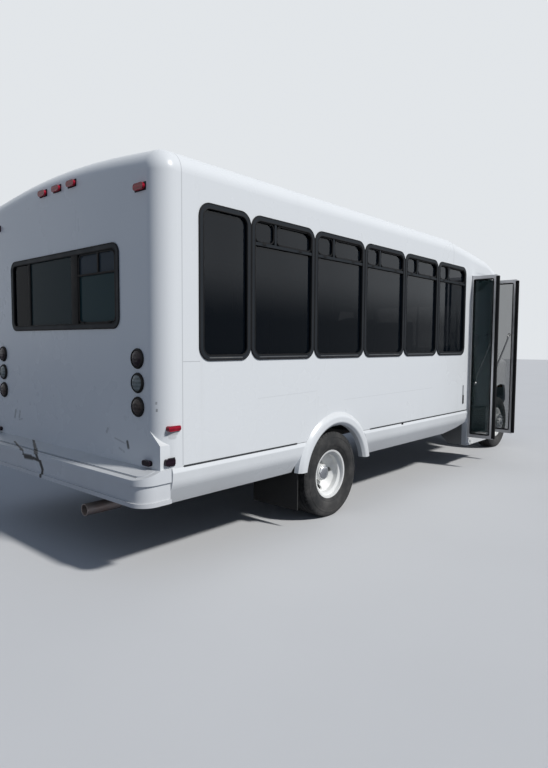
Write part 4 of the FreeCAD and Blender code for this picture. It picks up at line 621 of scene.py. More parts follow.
LOOKS = {
    "white": weathered_paint("body_white", marks=BODY_MARKS, seams=BODY_SEAMS),
    "cab": weathered_paint("cab_white", (0.80, 0.815, 0.82)),
    "bumper": weathered_paint("bumper_white", (0.72, 0.75, 0.78), seams=BUMPER_SEAMS, cracks=BUMPER_CRACKS),
    "frame": plain_paint("frame_charcoal", (0.015, 0.019, 0.024), 0.5, 0.25, (0.032, 0.035, 0.040),
                         Specular_IOR_Level=0.2),
    # Used only for the strips of painted groove shade between the walls and the skirts.
    "trim": plain_paint("groove_shade_trim", (0.040, 0.043, 0.047), 0.5, 0.3, (0.09, 0.09, 0.09),
                        Specular_IOR_Level=0.25),
    "rubber": plain_paint("black_rubber", (0.006, 0.006, 0.007), 0.65, 0.3, (0.025, 0.025, 0.025),
                          Specular_IOR_Level=0.25),
    "tint": window_film(),
    "clear": tinted_glass("clear_glass", (0.018, 0.048, 0.047), 0.44, gloss=0.22).material,
    "screen": tinted_glass("screen_glass", (0.02, 0.03, 0.03), 0.34, gloss=0.4).material,
    "floor": ribbed_floor("floor_rubber"),
    "lining": grained_plastic("lining_grey", (0.30, 0.31, 0.32), 0.65),
    "step": bare_metal("step_metal", (0.30, 0.31, 0.32), 0.42, (1.5, 40, 40), 0.4),
    "alloy": bare_metal("door_alloy", (0.62, 0.62, 0.64), 0.40, (40, 40, 1.2), 0.25, (0.22, 0.21, 0.21)),
    "chassis": rusted_iron("chassis_black", (0.028, 0.028, 0.029), 0.35),
    "iron": rusted_iron("axle_iron", (0.045, 0.040, 0.036), 0.7),
    "engine": rusted_iron("engine_iron", (0.10, 0.095, 0.09), 0.35),
    "exhaust": bare_metal("exhaust_steel", (0.30, 0.27, 0.27), 0.5, (1.5, 30, 30), 0.6, RUST),
    "wheel": plain_paint("wheel_white", (0.78, 0.79, 0.78), 0.36, 0.35, (0.40, 0.37, 0.33)),
    "tyre": tyre_rubber("tyre_black"),
    # The second colour of each lens is its painted shade, used low on the rear.
    "red": lens("lens_red", (0.52, 0.010, 0.040), (0.024, 0.010, 0.020)),
    "lamp": lens("lens_clear", (0.55, 0.58, 0.60), (0.29, 0.34, 0.34)),
    "amber": lens("lens_amber", (0.55, 0.17, 0.02), (0.085, 0.058, 0.050)),
    "grille": plain_paint("grille_grey", (0.10, 0.105, 0.11), 0.4, 0.4),
    "mirror": grained_plastic("mirror_black", (0.015, 0.015, 0.016), 0.45),
    "dash": grained_plastic("dash_grey", (0.10, 0.10, 0.105), 0.55),
    "seat_metal": plain_paint("seat_metal", (0.06, 0.062, 0.066), 0.45, 0.3),
    "cloth": woven_cloth("seat_cloth", (0.035, 0.045, 0.065), (0.085, 0.10, 0.135)),
    "rail": bare_metal("rail_steel", (0.55, 0.55, 0.55), 0.28, (30, 30, 1.0), 0.15),
    "tank": rusted_iron("tank_black", (0.022, 0.022, 0.024), 0.25),
    "flap": grained_plastic("flap_rubber", (0.016, 0.016, 0.016), 0.7),
    "chrome": bare_metal("bright_metal", (0.72, 0.73, 0.75), 0.12, (8, 8, 8), 0.12),
    "pale": grained_plastic("pale_trim", (0.36, 0.37, 0.38), 0.5),
    "silver": bare_metal("mirror_silver", (0.80, 0.82, 0.84), 0.03, (3, 3, 3), 0.04),
}

NODE_LOOKS = {
    "white": ("rear_cap", "roof", "front_cap", "side_wall_left", "side_wall_right", "shoulder_panels",
              "skirts", "arch_flares", "entry_frame"),
    "cab": ("cab_shell", "driver_door", "hood", "front_fenders", "fascia"),
    "bumper": ("rear_bumper", "front_bumper"),
    "frame": ("window_frames",),
    "rubber": ("black_trim", "entry_edge_rear", "entry_edge_front"),
    "tint": ("body_glass",),
    "clear": ("entry_glass_rear", "entry_glass_front"),
    "screen": ("cab_glass", "driver_door_glass"),
    "floor": ("floor",),
    "step": ("step_well",),
    "alloy": ("entry_leaf_rear", "entry_leaf_front"),
    "chassis": ("frame_rails", "leaf_springs"),
    "iron": ("rear_axle", "front_axle", "knuckle_left", "knuckle_right", "driveshaft"),
    "engine": ("engine", "radiator"),
    "exhaust": ("exhaust",),
    "wheel": ("rims_rear_left", "rims_rear_right", "rim_front_left", "rim_front_right"),
    "red": ("red_lamps",),
    "lamp": ("clear_lamps",),
    "amber": ("amber_lamps",),
    "grille": ("grille",),
    "mirror": ("mirror_left", "mirror_right"),
    "dash": ("dashboard", "steering_wheel"),
    "seat_metal": ("seat_frames",),
    "rail": ("grab_rails",),
    "tank": ("fuel_tank",),
    "flap": ("mud_flaps",),
}
for look, nodes in NODE_LOOKS.items():
    for node in nodes:
        for place in NODES[node].material_slots:
            place.material = LOOKS[look]
for node in ("steering_wheel", "entry_glass_rear"):
    NODES[node].data.shade_smooth()
    NODES[node].data.set_sharp_from_angle(angle=math.radians(32))


# Wheels

def tyre_rings(parts, centre_y, axle_x):
    """One tyre with a ribbed sidewall, four grooves round the tread and blocks between them."""
    side = (
        (0.2046, 0.0745), (0.2125, 0.0850), (0.2240, 0.0915), (0.2320, 0.0950), (0.2345, 0.0985),
        (0.2420, 0.0995), (0.2450, 0.1030), (0.2600, 0.1090), (0.2790, 0.1122), (0.2960, 0.1124),
        (0.3120, 0.1106), (0.3180, 0.1088), (0.3200, 0.1108), (0.3300, 0.1092), (0.3320, 0.1066),
        (0.3420, 0.1040), (0.3520, 0.1000), (0.3610, 0.0950), (0.3675, 0.0895),
    )
    tread = ((0.3712, 0.0840), (0.3716, 0.0640), (0.3630, 0.0622), (0.3630, 0.0562), (0.3718, 0.0544),
             (0.3719, 0.0262), (0.3632, 0.0244), (0.3632, 0.0186), (0.3720, 0.0168))
    half = side + tread
    profile = list(half) + [(r, -y) for r, y in half[::-1]]
    profile += [(0.2046, -0.060), (0.235, -0.088), (0.330, -0.094), (0.352, 0.0), (0.330, 0.094),
                (0.235, 0.088), (0.2046, 0.060)]
    pitches = 58
    rings = []
    for pitch in range(pitches):
        for share, low in ((0.0, 1), (0.11, 1), (0.15, 0), (0.96, 0)):
            rings.append((2 * math.pi * (pitch + share) / pitches, low))
    rows = []
    for angle, low in rings:
        row = []
        for radius, y in profile:
            lean = drop = 0.0
            if radius > 0.3700:
                lean = 0.030 * math.copysign(1, y) * (1 if abs(y) > 0.06 else -0.6)
                if low:
                    drop = 0.0075 if abs(y) > 0.06 else 0.0045 if abs(y) > 0.03 else 0.0
            elif radius > 0.3600 and abs(y) > 0.0850 and low:
                drop = 0.0050
            reach = radius - drop
            row.append((axle_x + reach * math.cos(angle + lean), centre_y + y,
                        AXLE_HEIGHT + reach * math.sin(angle + lean)))
        rows.append(row)
    return parts.rings(rows, loop=True)


def lug_nuts(parts, centre, way, circle, count=8, size=0.0115, high=0.022):
    """Hexagonal nuts with domed ends and a stud, round a wheel's centre."""
    for i in range(count):
        angle = 2 * math.pi * (i + 0.5) / count
        at = Vector(centre) + Vector((circle * math.cos(angle), 0, circle * math.sin(angle)))
        rings = []
        for share, out in ((1.35, 0.0), (1.35, 0.003), (1.0, 0.0045), (1.0, high - 0.004), (0.72, high)):
            rings.append([at + Vector((size * share * math.cos(a), way * out, size * share * math.sin(a)))
                          for a in (math.pi * k / 3 for k in range(6))])
        parts.rings(rings)
        rings = [[at + Vector((0.006 * math.cos(a), way * out, 0.006 * math.sin(a)))
                  for a in (math.pi * k / 4 for k in range(8))] for out in (high - 0.003, high + 0.007)]
        parts.rings(rings)


def hub_turning(parts, axle_x, side, y, steps, profile):
    """A turned form on a wheel's axis; its profile of (radius, outward) starts at y."""
    parts.spun([(radius, side * out) for radius, out in profile],
               (axle_x, side * y, AXLE_HEIGHT), "y", steps)


def valve(parts, centre, way, reach, length=0.04):
    """A valve stem that bends a little as it comes out of the rim."""
    at = Vector(centre) + Vector((0, 0, reach))
    bend, tip = Vector((0, way * length * 0.6, 0.002)), Vector((0, way * length, 0.006))
    parts.tube([at, at + bend, at + tip], 0.0038, 8)


def wheel_pieces(label, side):
    """One side's tyres, and the nuts, valves and hub caps on its wheels."""
    twin = Parts()
    for centre in TWIN_TYRES:
        tyre_rings(twin, side * centre, REAR_AXLE)
    twin.make(f"tyre_pair_{label}", "tyre", f"wheel_rear_{label}", "tyre_black",
              replaces=[f"tyres_rear_{label}"], flat_angle=28)
    single = Parts()
    tyre_rings(single, side * FRONT_TYRE, FRONT_AXLE)
    single.make(f"tyre_single_{label}", "tyre", f"wheel_front_{label}", "tyre_black",
                replaces=[f"tyre_front_{label}"], flat_angle=28)
    nuts = Parts()
    lug_nuts(nuts, (REAR_AXLE, side * 0.9565, AXLE_HEIGHT), side, 0.0935)
    valve(nuts, (REAR_AXLE, side * 1.005, AXLE_HEIGHT), side, 0.150)
    nuts.make(f"rear_nuts_{label}", "iron", f"wheel_rear_{label}", "axle_iron")
    cap = Parts()
    hub_turning(cap, REAR_AXLE, side, 1.1025, 40,
                [(0.001, 0.0), (0.048, 0.0), (0.058, -0.004), (0.063, -0.010), (0.063, -0.016),
                 (0.001, -0.016)])
    for i in range(8):
        angle = 2 * math.pi * i / 8
        at = (REAR_AXLE + 0.051 * math.cos(angle), side * 1.1, AXLE_HEIGHT + 0.051 * math.sin(angle))
        cap.spun([(0.0005, 0.004), (0.005, 0.004), (0.0062, 0.0), (0.0005, -0.002)], at, "y", 8)
    cap.make(f"rear_hub_cap_{label}", "chrome", f"wheel_rear_{label}", "wheel_white")
    front = Parts()
    lug_nuts(front, (FRONT_AXLE, side * 0.9945, AXLE_HEIGHT), side, 0.092)
    valve(front, (FRONT_AXLE, side * 0.93, AXLE_HEIGHT), side, 0.150)
    hub_turning(front, FRONT_AXLE, side, 0.9946, 48,
                [(0.112, 0.0), (0.118, 0.004), (0.1175, 0.0075), (0.111, 0.0045), (0.066, 0.0045),
                 (0.066, 0.0)])
    hub_turning(front, FRONT_AXLE, side, 0.990, 32,
                [(0.0005, 0.041), (0.022, 0.040), (0.032, 0.036), (0.036, 0.028), (0.0365, 0.0),
                 (0.0005, 0.0)])
    front.make(f"front_nuts_{label}", "chrome", f"wheel_front_{label}", "wheel_white")


for label, side in SIDES.items():
    wheel_pieces(label, side)


# Side windows

WINDOW_Z = (1.388, 2.417)
VENT_Z = 2.216
SPANS = []
edge = REAR_WALL + 0.306
for width in [FIRST_WINDOW] + [WINDOW_PITCH] * 5:
    SPANS.append((edge + 0.002, edge + width - 0.002))
    edge += width


def inset_pair(pair, amount):
    """A span drawn in at both ends."""
    return pair[0] + amount, pair[1] - amount


def side_place(a, b):
    """A point on the kerb-side wall; the pieces are mirrored for the other side afterwards."""
    return Vector((a, -HALF_WIDTH, b))


BEAD = ((-0.005, 0.0), (-0.004, 0.0045), (0.0, 0.006), (0.004, 0.0045), (0.005, 0.0))


def side_windows():
    """Beads round every frame, the sliding vents' sashes with their latches, weep covers and a painted
    highlight along each sill.
    """
    rubber = Parts()
    sash = Parts()
    bright = Parts()
    for number, span in enumerate(SPANS):
        rubber.strip(eased_rectangle(inset_pair(span, 0.0045), inset_pair(WINDOW_Z, 0.0045), 0.0905,
                                     side_place, 8), [(a, b + 0.0035) for a, b in BEAD])
        rubber.strip(eased_rectangle(inset_pair(span, 0.036), inset_pair(WINDOW_Z, 0.036), 0.059,
                                     side_place, 8), [(a * 0.9, b * 0.8 + 0.0055) for a, b in BEAD])
        # Painted highlight: a paler grey strip along the sill, where light catches the frame.
        bright.block((span[0] + 0.085, -HALF_WIDTH - 0.0092, WINDOW_Z[0] + 0.0165),
                     (span[1] - 0.085, -HALF_WIDTH - 0.0070, WINDOW_Z[0] + 0.0235), 0.001)
        if number == 0:
            continue
        third = span[0] + WINDOW_PITCH / 3
        low, high = VENT_Z + 0.013, WINDOW_Z[1] - 0.040
        for start, end, thick in ((span[0] + 0.040, third - 0.002, 0.006),
                                  (third + 0.024, span[1] - 0.040, 0.009)):
            sash.strip(eased_rectangle((start, end), (low, high), 0.045, side_place, 6),
                       [(-thick, -0.006), (-thick, 0.0035), (0.0, 0.0045), (0.0, -0.006)])
        x = span[1] - 0.052
        hook = [(x, -HALF_WIDTH - 0.004, low + 0.012),
                (x + 0.004, -HALF_WIDTH - 0.005, low + 0.09),
                (x - 0.004, -HALF_WIDTH - 0.005, high - 0.028),
                (x - 0.05, -HALF_WIDTH - 0.004, high - 0.006)]
        sash.tube(smooth_line(hook), 0.0085, 8, 0.55)
        for share in (0.18, 0.74):
            at = span[0] + WINDOW_PITCH * share
            sash.block((at - 0.018, -HALF_WIDTH - 0.0085, VENT_Z - 0.006),
                       (at + 0.018, -HALF_WIDTH - 0.004, VENT_Z + 0.010), 0.003)
        sash.block((span[0] + 0.040, -HALF_WIDTH - 0.0065, VENT_Z - 0.0125),
                   (span[1] - 0.040, -HALF_WIDTH + 0.004, VENT_Z - 0.0095), 0.001)
        for share in (0.25, 0.75):
            at = span[0] + WINDOW_PITCH * share
            rubber.block((at - 0.014, -HALF_WIDTH - 0.0105, WINDOW_Z[0] + 0.010),
                         (at + 0.014, -HALF_WIDTH - 0.006, WINDOW_Z[0] + 0.017), 0.002)
    for parts, name, look in ((rubber, "window_beads", "rubber"), (sash, "vent_sashes", "rubber"),
                              (bright, "sill_highlight_strips", "grille")):
        parts.mirrored().make(name, look, "bus", "frame_black")


side_windows()


def rear_place(a, b):
    """A point on the rear wall."""
    return Vector((REAR_WALL, -a, b))


def rear_window():
    """The rear window's beads, its uprights and bars, the inner frame of its left pane and two latches."""
    rubber = Parts()
    rubber.strip(eased_rectangle((-0.7845, 0.7845), (1.6015, 2.1615), 0.0705, rear_place, 8),
                 [(a, b + 0.0035) for a, b in BEAD])
    rubber.strip(eased_rectangle((-0.753, 0.753), (1.633, 2.130), 0.040, rear_place, 8),
                 [(a * 1.2, b + 0.003) for a, b in BEAD])
    rubber.block((REAR_WALL - 0.007, -0.275, 1.628), (REAR_WALL + 0.006, -0.185, 2.135), 0.004)
    rubber.block((REAR_WALL - 0.004, 0.455, 1.628), (REAR_WALL + 0.006, 0.487, 2.135), 0.003)
    rubber.block((REAR_WALL - 0.005, -0.756, 1.970), (REAR_WALL + 0.006, -0.270, 1.985), 0.003)
    rubber.block((REAR_WALL - 0.005, -0.545, 1.978), (REAR_WALL + 0.006, -0.525, 2.135), 0.003)
    rubber.strip(eased_rectangle((0.283, 0.744), (1.640, 2.122), 0.045, rear_place, 6),
                 [(-0.008, 0.0), (-0.008, 0.004), (0.0, 0.005), (0.0, 0.0)])
    for y in (-0.34, -0.68):
        rubber.block((REAR_WALL - 0.012, y - 0.02, 1.640), (REAR_WALL - 0.004, y + 0.02, 1.652), 0.003)
    rubber.make("rear_window_bars", "rubber", "bus", "frame_black")


rear_window()


# The roof's section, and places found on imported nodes

def arch_profile():
    """The body's roof section from one wall over to the other, as (y, z)."""
    eaves, corner_z, crown_top = 2.44, 2.70, 2.82
    shoulder, crown = 0.15, 8
    tilt = math.atan((crown_top - corner_z) / HALF_WIDTH)
    arc_y = HALF_WIDTH - shoulder
    arc_z = corner_z - shoulder * math.tan((math.pi / 2 - tilt) / 2)
    crown_z = crown_top - crown / math.cos(tilt)
    line = [(HALF_WIDTH, eaves)]
    for i in range(9):
        angle = (math.pi / 2 - tilt) * i / 8
        line.append((arc_y + shoulder * math.cos(angle), arc_z + shoulder * math.sin(angle)))
    for i in range(7):
        angle = tilt * (1 - i / 6)
        line.append((crown * math.sin(angle), crown_z + crown * math.cos(angle)))
    return line + [(-y, z) for y, z in line[-2::-1]]


def touch(node, start, way):
    """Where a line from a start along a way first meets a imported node."""
    met, place, _, _ = NODES[node].ray_cast(Vector(start), Vector(way))
    if not met:
        raise ValueError(f"{node} isn't on the way from {start}")
    return place


# Entry

# Each open leaf's low and high face along x, and the way its inner face looks
LEAVES = {"rear": (1.184, 1.219, 1), "front": (1.848, 1.883, -1)}


def leaf_fittings(name):
    """A leaf's rubber nose, the gaskets round its pane, its grab handle and the screws of its edge."""
    low, high, inside = LEAVES[name]
    middle = (low + high) / 2
    body = f"entry_{name}_body"
    outline = ((-0.0182, -1.508), (-0.0185, -1.532), (-0.0150, -1.5425), (-0.006, -1.5458),
               (0.006, -1.5458), (0.0150, -1.5425), (0.0185, -1.532), (0.0182, -1.508))
    seal = Parts()
    seal.rings([[(middle + a * shrink, -1.527 + (b + 1.527) * shrink, z) for a, b in outline]
                for z, shrink in ((0.380, 0.8), (0.384, 1.0), (2.3195, 1.0), (2.3235, 0.8))])
    seal.make(f"leaf_seal_{name}", "rubber", body, "seal_black", replaces=[f"entry_edge_{name}"])
    gasket = Parts()
    for x, way in ((low, -1), (high, 1)):
        def face(a, b):
            return Vector((x, way * a, b))
        across = sorted((way * -1.482, way * -1.242))
        gasket.strip(eased_rectangle(across, (0.415, 2.295), 0.016, face),
                     [(-0.009, -0.006), (-0.009, 0.001), (-0.004, 0.0034), (0.003, 0.0024),
                      (0.003, -0.006)])
    gasket.make(f"leaf_gasket_{name}", "rubber", body, "seal_black")
    metal = Parts()
    inner = high if inside > 0 else low
    out = inner + inside * 0.045
    handle = [(inner, -1.262, 1.02), (out, -1.266, 1.04), (out, -1.270, 1.10),
              (out, -1.440, 1.56), (out, -1.446, 1.62), (inner, -1.450, 1.64)]
    metal.tube(smooth_line(handle), 0.0105, 10)
    for y, z in ((-1.262, 1.02), (-1.450, 1.64)):
        metal.spun([(0.0005, 0.0), (0.019, 0.0), (0.019, 0.003), (0.013, 0.005), (0.0005, 0.005)],
                   (inner - (0.005 if inside < 0 else 0), y, z), "x", 16)
    for z in (0.46, 0.92, 1.38, 1.84, 2.26):
        for x in (low - 0.002, high - 0.001):
            metal.spun(disc(0.0, 0.003, 0.0055), (x, -1.222, z), "x", 8)
    metal.make(f"leaf_handle_{name}", "rail", body, "door_metal")


def entry_fittings():
    """Step edges and mats, sill lips, rubbers, the release plate, step mirror and opener's cover."""
    x = (1.182, 1.884)
    lower = touch("step_well", (1.5, -1.10, 1.0), (0, 0, -1)).z
    upper = touch("step_well", (1.5, -0.85, 1.0), (0, 0, -1)).z
    edge = touch("step_well", (1.5, -1.30, (lower + upper) / 2), (0, 1, 0)).y
    top = touch("step_well", (1.5, -1.30, (upper + 0.76) / 2), (0, 1, 0)).y
    nosing = Parts()
    mats = Parts()
    for y, z in ((-1.158, lower), (edge, upper), (top, 0.760)):
        nosing.block((x[0], y - 0.004, z - 0.030), (x[1], y + 0.004, z + 0.004), 0.002)
        nosing.block((x[0], y - 0.004, z + 0.0005), (x[1], y + 0.036, z + 0.0045), 0.002)
        for share in (0.010, 0.020, 0.030):
            nosing.block((x[0], y + share - 0.002, z + 0.004), (x[1], y + share + 0.001, z + 0.0062), 0.001)
    for near, far, z in ((-1.118, edge - 0.008, lower), (edge + 0.040, top - 0.008, upper)):
        mats.block((x[0], near, z + 0.0004), (x[1], far, z + 0.0035), 0.001)
        count = 14
        for i in range(count):
            y = near + (far - near) * (i + 0.5) / count
            mats.block((x[0] + 0.004, y - 0.0035, z + 0.003),
                       (x[1] - 0.004, y + 0.0035, z + 0.0062), 0.0015)
    nosing.make("step_edges", "alloy", "bus", "step_metal")
    mats.make("step_mats", "mirror", "bus", "floor_grey")

    trim = Parts()
    trim.block((1.136, -1.2355, 0.2725), (1.330, -1.190, 0.3000), 0.006)
    trim.block((1.238, -1.2355, 0.2725), (1.262, -1.215, 0.3350), 0.005)
    trim.block((1.790, -1.2300, 0.2725), (1.930, -1.190, 0.2960), 0.006)
    trim.make("entry_trim", "white", "bus", "body_white")
    rubber = Parts()
    for x_low, x_high in ((1.1745, 1.1800), (1.8870, 1.8925)):
        rubber.block((x_low, -1.214, 0.375), (x_high, -1.190, 2.330), 0.002)
    rubber.block((1.1745, -1.214, 2.3285), (1.8925, -1.186, 2.336), 0.002)
    rubber.block((0.9890, -1.2305, 0.800), (1.0130, -1.2200, 0.905), 0.004)
    rubber.block((-0.485, -1.2270, 0.694), (-0.447, -1.2100, 0.712), 0.004)
    rubber.make("entry_rubbers", "rubber", "bus", "seal_black")
    plate = Parts()
    plate.block((0.9900, -1.2290, 0.905), (1.0120, -1.2200, 1.026), 0.004)
    for z in (0.922, 1.010):
        plate.spun([(0.0005, 0.0), (0.004, 0.0), (0.0045, 0.0025), (0.0005, 0.003)],
                   (1.001, -1.2315, z), "y", 8)
    plate.make("release_plate", "pale", "bus", "body_white")
    pod = Parts()
    pod.spun([(0.0005, 0.0), (0.070, 0.0), (0.078, 0.006), (0.080, 0.016), (0.070, 0.030), (0.040, 0.040),
              (0.0005, 0.042)], (0, 0, 0), "x", 40)
    pod.turned(Matrix.Translation((1.905, -0.985, 1.576)) @ Matrix.Rotation(math.radians(28), 4, "Z"))
    pod.tube(smooth_line([(1.930, -0.975, 1.580), (1.945, -1.03, 1.600), (1.935, -1.12, 1.640),
                          (1.915, -1.165, 1.660)]), 0.008, 10)
    pod.make("step_mirror", "pale", "bus", "rail_steel")
    opener = Parts()
    opener.block((1.22, -1.150, 2.345), (1.85, -1.020, 2.430), 0.018)
    for x_at in (1.30, 1.77):
        opener.spun(disc(-0.020, 0.020, 0.016), (x_at, -1.085, 2.335), "z", 16)
    opener.make("door_opener_cover", "dash", "bus", "dash_grey")


for leaf in LEAVES:
    leaf_fittings(leaf)
entry_fittings()


# Cab and front

def screen_place(a, b):
    """A point on the windscreen's plane, from the driver's side across and up."""
    return Vector((2.7605 - 0.6143 * (b - 1.4), a, b))


def cab_place(side):
    """Turns (along, up) into a point on the leaning side of the cab."""
    def at(a, b):
        return Vector((-side * a, side * (1.0 - 0.0915 * (b - 1.35)), b))
    return at


def cab_glazing():
    """Rubbers round the cab's windows, the wipers, the cowl's vents and the washer jets."""
    rubber = Parts()
    section = [(-0.016, -0.012), (-0.016, 0.001), (-0.009, 0.0055), (0.004, 0.0055), (0.009, 0.001),
               (0.006, -0.012)]
    screen = [(0.885, 1.445), (0.830, 2.100), (-0.830, 2.100), (-0.885, 1.445)]
    rubber.strip(eased_outline(screen, 0.065, screen_place, 8), section)
    quarter = [(2.0225, 1.395), (2.6075, 1.395), (2.2475, 2.015), (2.0225, 2.015)]
    rubber.strip(eased_outline(quarter, 0.033, cab_place(-1)), section)
    arms = Parts()
    reach = -0.56
    for y in (0.60, -0.02):
        foot = screen_place(y, 1.425) + Vector((0.016, 0, 0.010))
        elbow = screen_place(y + reach * 0.55, 1.475) + Vector((0.020, 0, 0.012))
        tip = screen_place(y + reach * 0.62, 1.492) + Vector((0.018, 0, 0.011))
        arms.spun([(0.0005, -0.012), (0.016, -0.012), (0.018, 0.004), (0.010, 0.012), (0.0005, 0.013)],
                  foot, "z", 16)
        arms.tube([foot + Vector((0, 0, 0.006)), elbow, tip], 0.0062, 8, 0.6)
        blade = [screen_place(y + reach * share, 1.470 + 0.030 * share) + Vector((0.0115, 0, 0.007))
                 for share in (0.12, 0.4, 0.7, 1.0)]
        arms.tube(blade, 0.0068, 8, 0.5)
        arms.tube([point + Vector((0.007, 0, 0.005)) for point in blade[1:3]], 0.0045, 8)
    for number in range(9):
        y = -0.56 + number * 0.14
        low = screen_place(y, 1.412)
        arms.block(low + Vector((-0.012, -0.048, -0.006)), low + Vector((0.006, 0.048, 0.003)), 0.002)
    arms.make("wipers", "mirror", "bus", "mirror_black")
    rubber.make("cab_window_rubbers", "rubber", "bus", "seal_black")
    jets = Parts()
    for y in (-0.30, 0.30):
        place = touch("hood", (2.90, y, 1.6), (0, 0, -1))
        jets.block(place + Vector((-0.012, -0.009, -0.002)), place + Vector((0.012, 0.009, 0.009)), 0.003)
    jets.make("washer_jets", "mirror", "hood_body", "mirror_black")


def driver_door_fittings():
    """The driver's door: window rubber, mouldings, handle with cup and lock, mirror glass and rim."""
    rubber = Parts()
    window = [(-1.4275, 1.395), (-2.3025, 1.395), (-1.8429, 2.015), (-1.4275, 2.015)]
    rubber.strip(eased_outline(window, 0.042, cab_place(1)),
                 [(-0.014, -0.012), (-0.014, 0.001), (-0.008, 0.005), (0.003, 0.005), (0.008, 0.001),
                  (0.006, -0.012)])
    rubber.block((1.372, 0.9985, 0.905), (2.370, 1.0075, 0.937), 0.004)
    rubber.block((1.420, 0.9980, 1.352), (2.330, 1.0060, 1.366), 0.003)
    rubber.make("door_window_rubber", "rubber", "driver_door_body", "seal_black")
    handle = Parts()
    handle.block((1.425, 0.9990, 1.195), (1.590, 1.0045, 1.275), 0.004)
    handle.tube(smooth_line([(1.440, 1.003, 1.258), (1.447, 1.026, 1.260), (1.470, 1.034, 1.260),
                             (1.548, 1.034, 1.260), (1.570, 1.026, 1.260), (1.577, 1.003, 1.258)]),
                0.0105, 10, 0.7)
    handle.spun([(0.0005, 0.0), (0.011, 0.0), (0.0115, 0.003), (0.004, 0.0045), (0.0005, 0.0038)],
                (1.468, 1.004, 1.215), "y", 16)
    handle.make("door_handle", "mirror", "driver_door_body", "mirror_black")

    def face(a, b):
        return Vector((2.2855, -a, b))
    silver = Parts()
    for across, up in (((-1.518, -1.342), (1.462, 1.678)), ((-1.518, -1.342), (1.342, 1.452))):
        rim = eased_rectangle(across, up, 0.030 if up[0] > 1.4 else 0.022, face)
        rings = [[point + out * grow + way * lift for point, out, way in rim]
                 for grow, lift in ((0, -0.004), (0, 0.0008), (-0.004, 0.0018))]
        silver.rings(rings)
    silver.make("mirror_glass_left", "silver", "driver_door_body", "mirror_black")
    left = Parts()
    left.strip(eased_rectangle((-1.5285, -1.3315), (1.3315, 1.6885), 0.043, face),
               [(-0.012, -0.004), (-0.009, 0.0025), (0.0, 0.003), (0.0, -0.004)])
    left.make("mirror_rim_left", "rubber", "driver_door_body", "mirror_black")


def front_fittings():
    """The headlamps' rims and centres, bezels round the front lamps, grille mesh and lamp bases."""
    bright = Parts()
    for side in (1, -1):
        z, radius = 1.015, 0.072
        for y in (0.560, 0.712):
            bright.spun([(radius - 0.004, -0.004), (radius, 0.0), (radius + 0.003, 0.0022),
                         (radius + 0.006, -0.004)], (3.5095, side * y, z), "x", 40)
            bright.spun([(0.0005, 0.0), (0.016, 0.0), (0.013, 0.0035), (0.0005, 0.0045)],
                        (3.5085, side * y, z), "x", 20)

        def face(a, b):
            return Vector((3.5005, a, b))
        across = sorted((side * 0.470, side * 0.800))
        for up, radius in (((0.925, 1.105), 0.018), ((0.845, 0.908), 0.014)):
            bright.strip(eased_rectangle(across, up, radius, face),
                         [(-0.001, -0.004), (-0.001, 0.0095), (0.006, 0.0065), (0.010, 0.0),
                          (0.010, -0.004)])
    bright.make("lamp_bezels", "chrome", "bus", "grille_grey")
    mesh = Parts()
    for number in range(54):
        y = -0.398 + number * 0.015
        mesh.block((3.4715, y - 0.0012, 0.862), (3.4745, y + 0.0012, 1.104), 0.0008)
    for number in range(16):
        z = 0.868 + number * 0.0152
        mesh.block((3.4690, -0.404, z - 0.0012), (3.4715, 0.404, z + 0.0012), 0.0008)
    mesh.make("grille_mesh", "rubber", "bus", "grille_grey")
    bases = Parts()
    for y, z in ((0.212, 2.635), (0.0, 2.635), (-0.212, 2.635), (1.030, 2.470), (-1.030, 2.470)):
        bases.block((REAR_WALL - 0.004, y - 0.058, z - 0.0265),
                    (REAR_WALL + 0.004, y + 0.058, z + 0.0265), 0.008)
    for side in (1, -1):
        bases.block((-3.427, min(side * 1.216, side * 1.2245), 0.751 - 0.022),
                    (-3.371, max(side * 1.216, side * 1.2245), 0.761 + 0.022), 0.003)
    bases.make("lamp_bases", "rubber", "bus", "seal_black")


def rear_fittings():
    """Dark strips between the walls and the skirts, painted shade for the groove there, and the fuel door.
    """
    strips = Parts()
    # Painted shade: a dark strip stands for the shaded groove where wall meets skirt.
    for start, end in ((-3.300, -2.150), (-1.075, 1.130)):
        strips.block((start, -1.2238, 0.7085), (end, -1.2170, 0.7205), 0.002)
    strips.mirrored().make("groove_shade_strips", "trim", "bus", "seal_black")
    door = Parts()

    def left_side(a, b):
        return Vector((-a, 1.2200, b))
    rim = eased_rectangle((0.300, 0.480), (0.935, 1.125), 0.022, left_side)
    door.rings([[point + out * grow + way * lift for point, out, way in rim]
                for grow, lift in ((0.0, -0.004), (0.0, 0.0035), (-0.003, 0.0052))])
    door.block((-0.318, 1.2225, 0.965), (-0.300, 1.2300, 1.095), 0.003)
    door.make("fuel_door", "white", "bus", "body_white")
    ring = Parts()
    ring.strip(eased_rectangle((0.297, 0.483), (0.932, 1.128), 0.024, left_side),
               [(0.0, -0.004), (0.0, 0.0022), (0.006, 0.0022), (0.007, -0.004)])
    ring.make("fuel_door_rubber", "rubber", "bus", "seal_black")


cab_glazing()
driver_door_fittings()
front_fittings()
rear_fittings()


# Inside

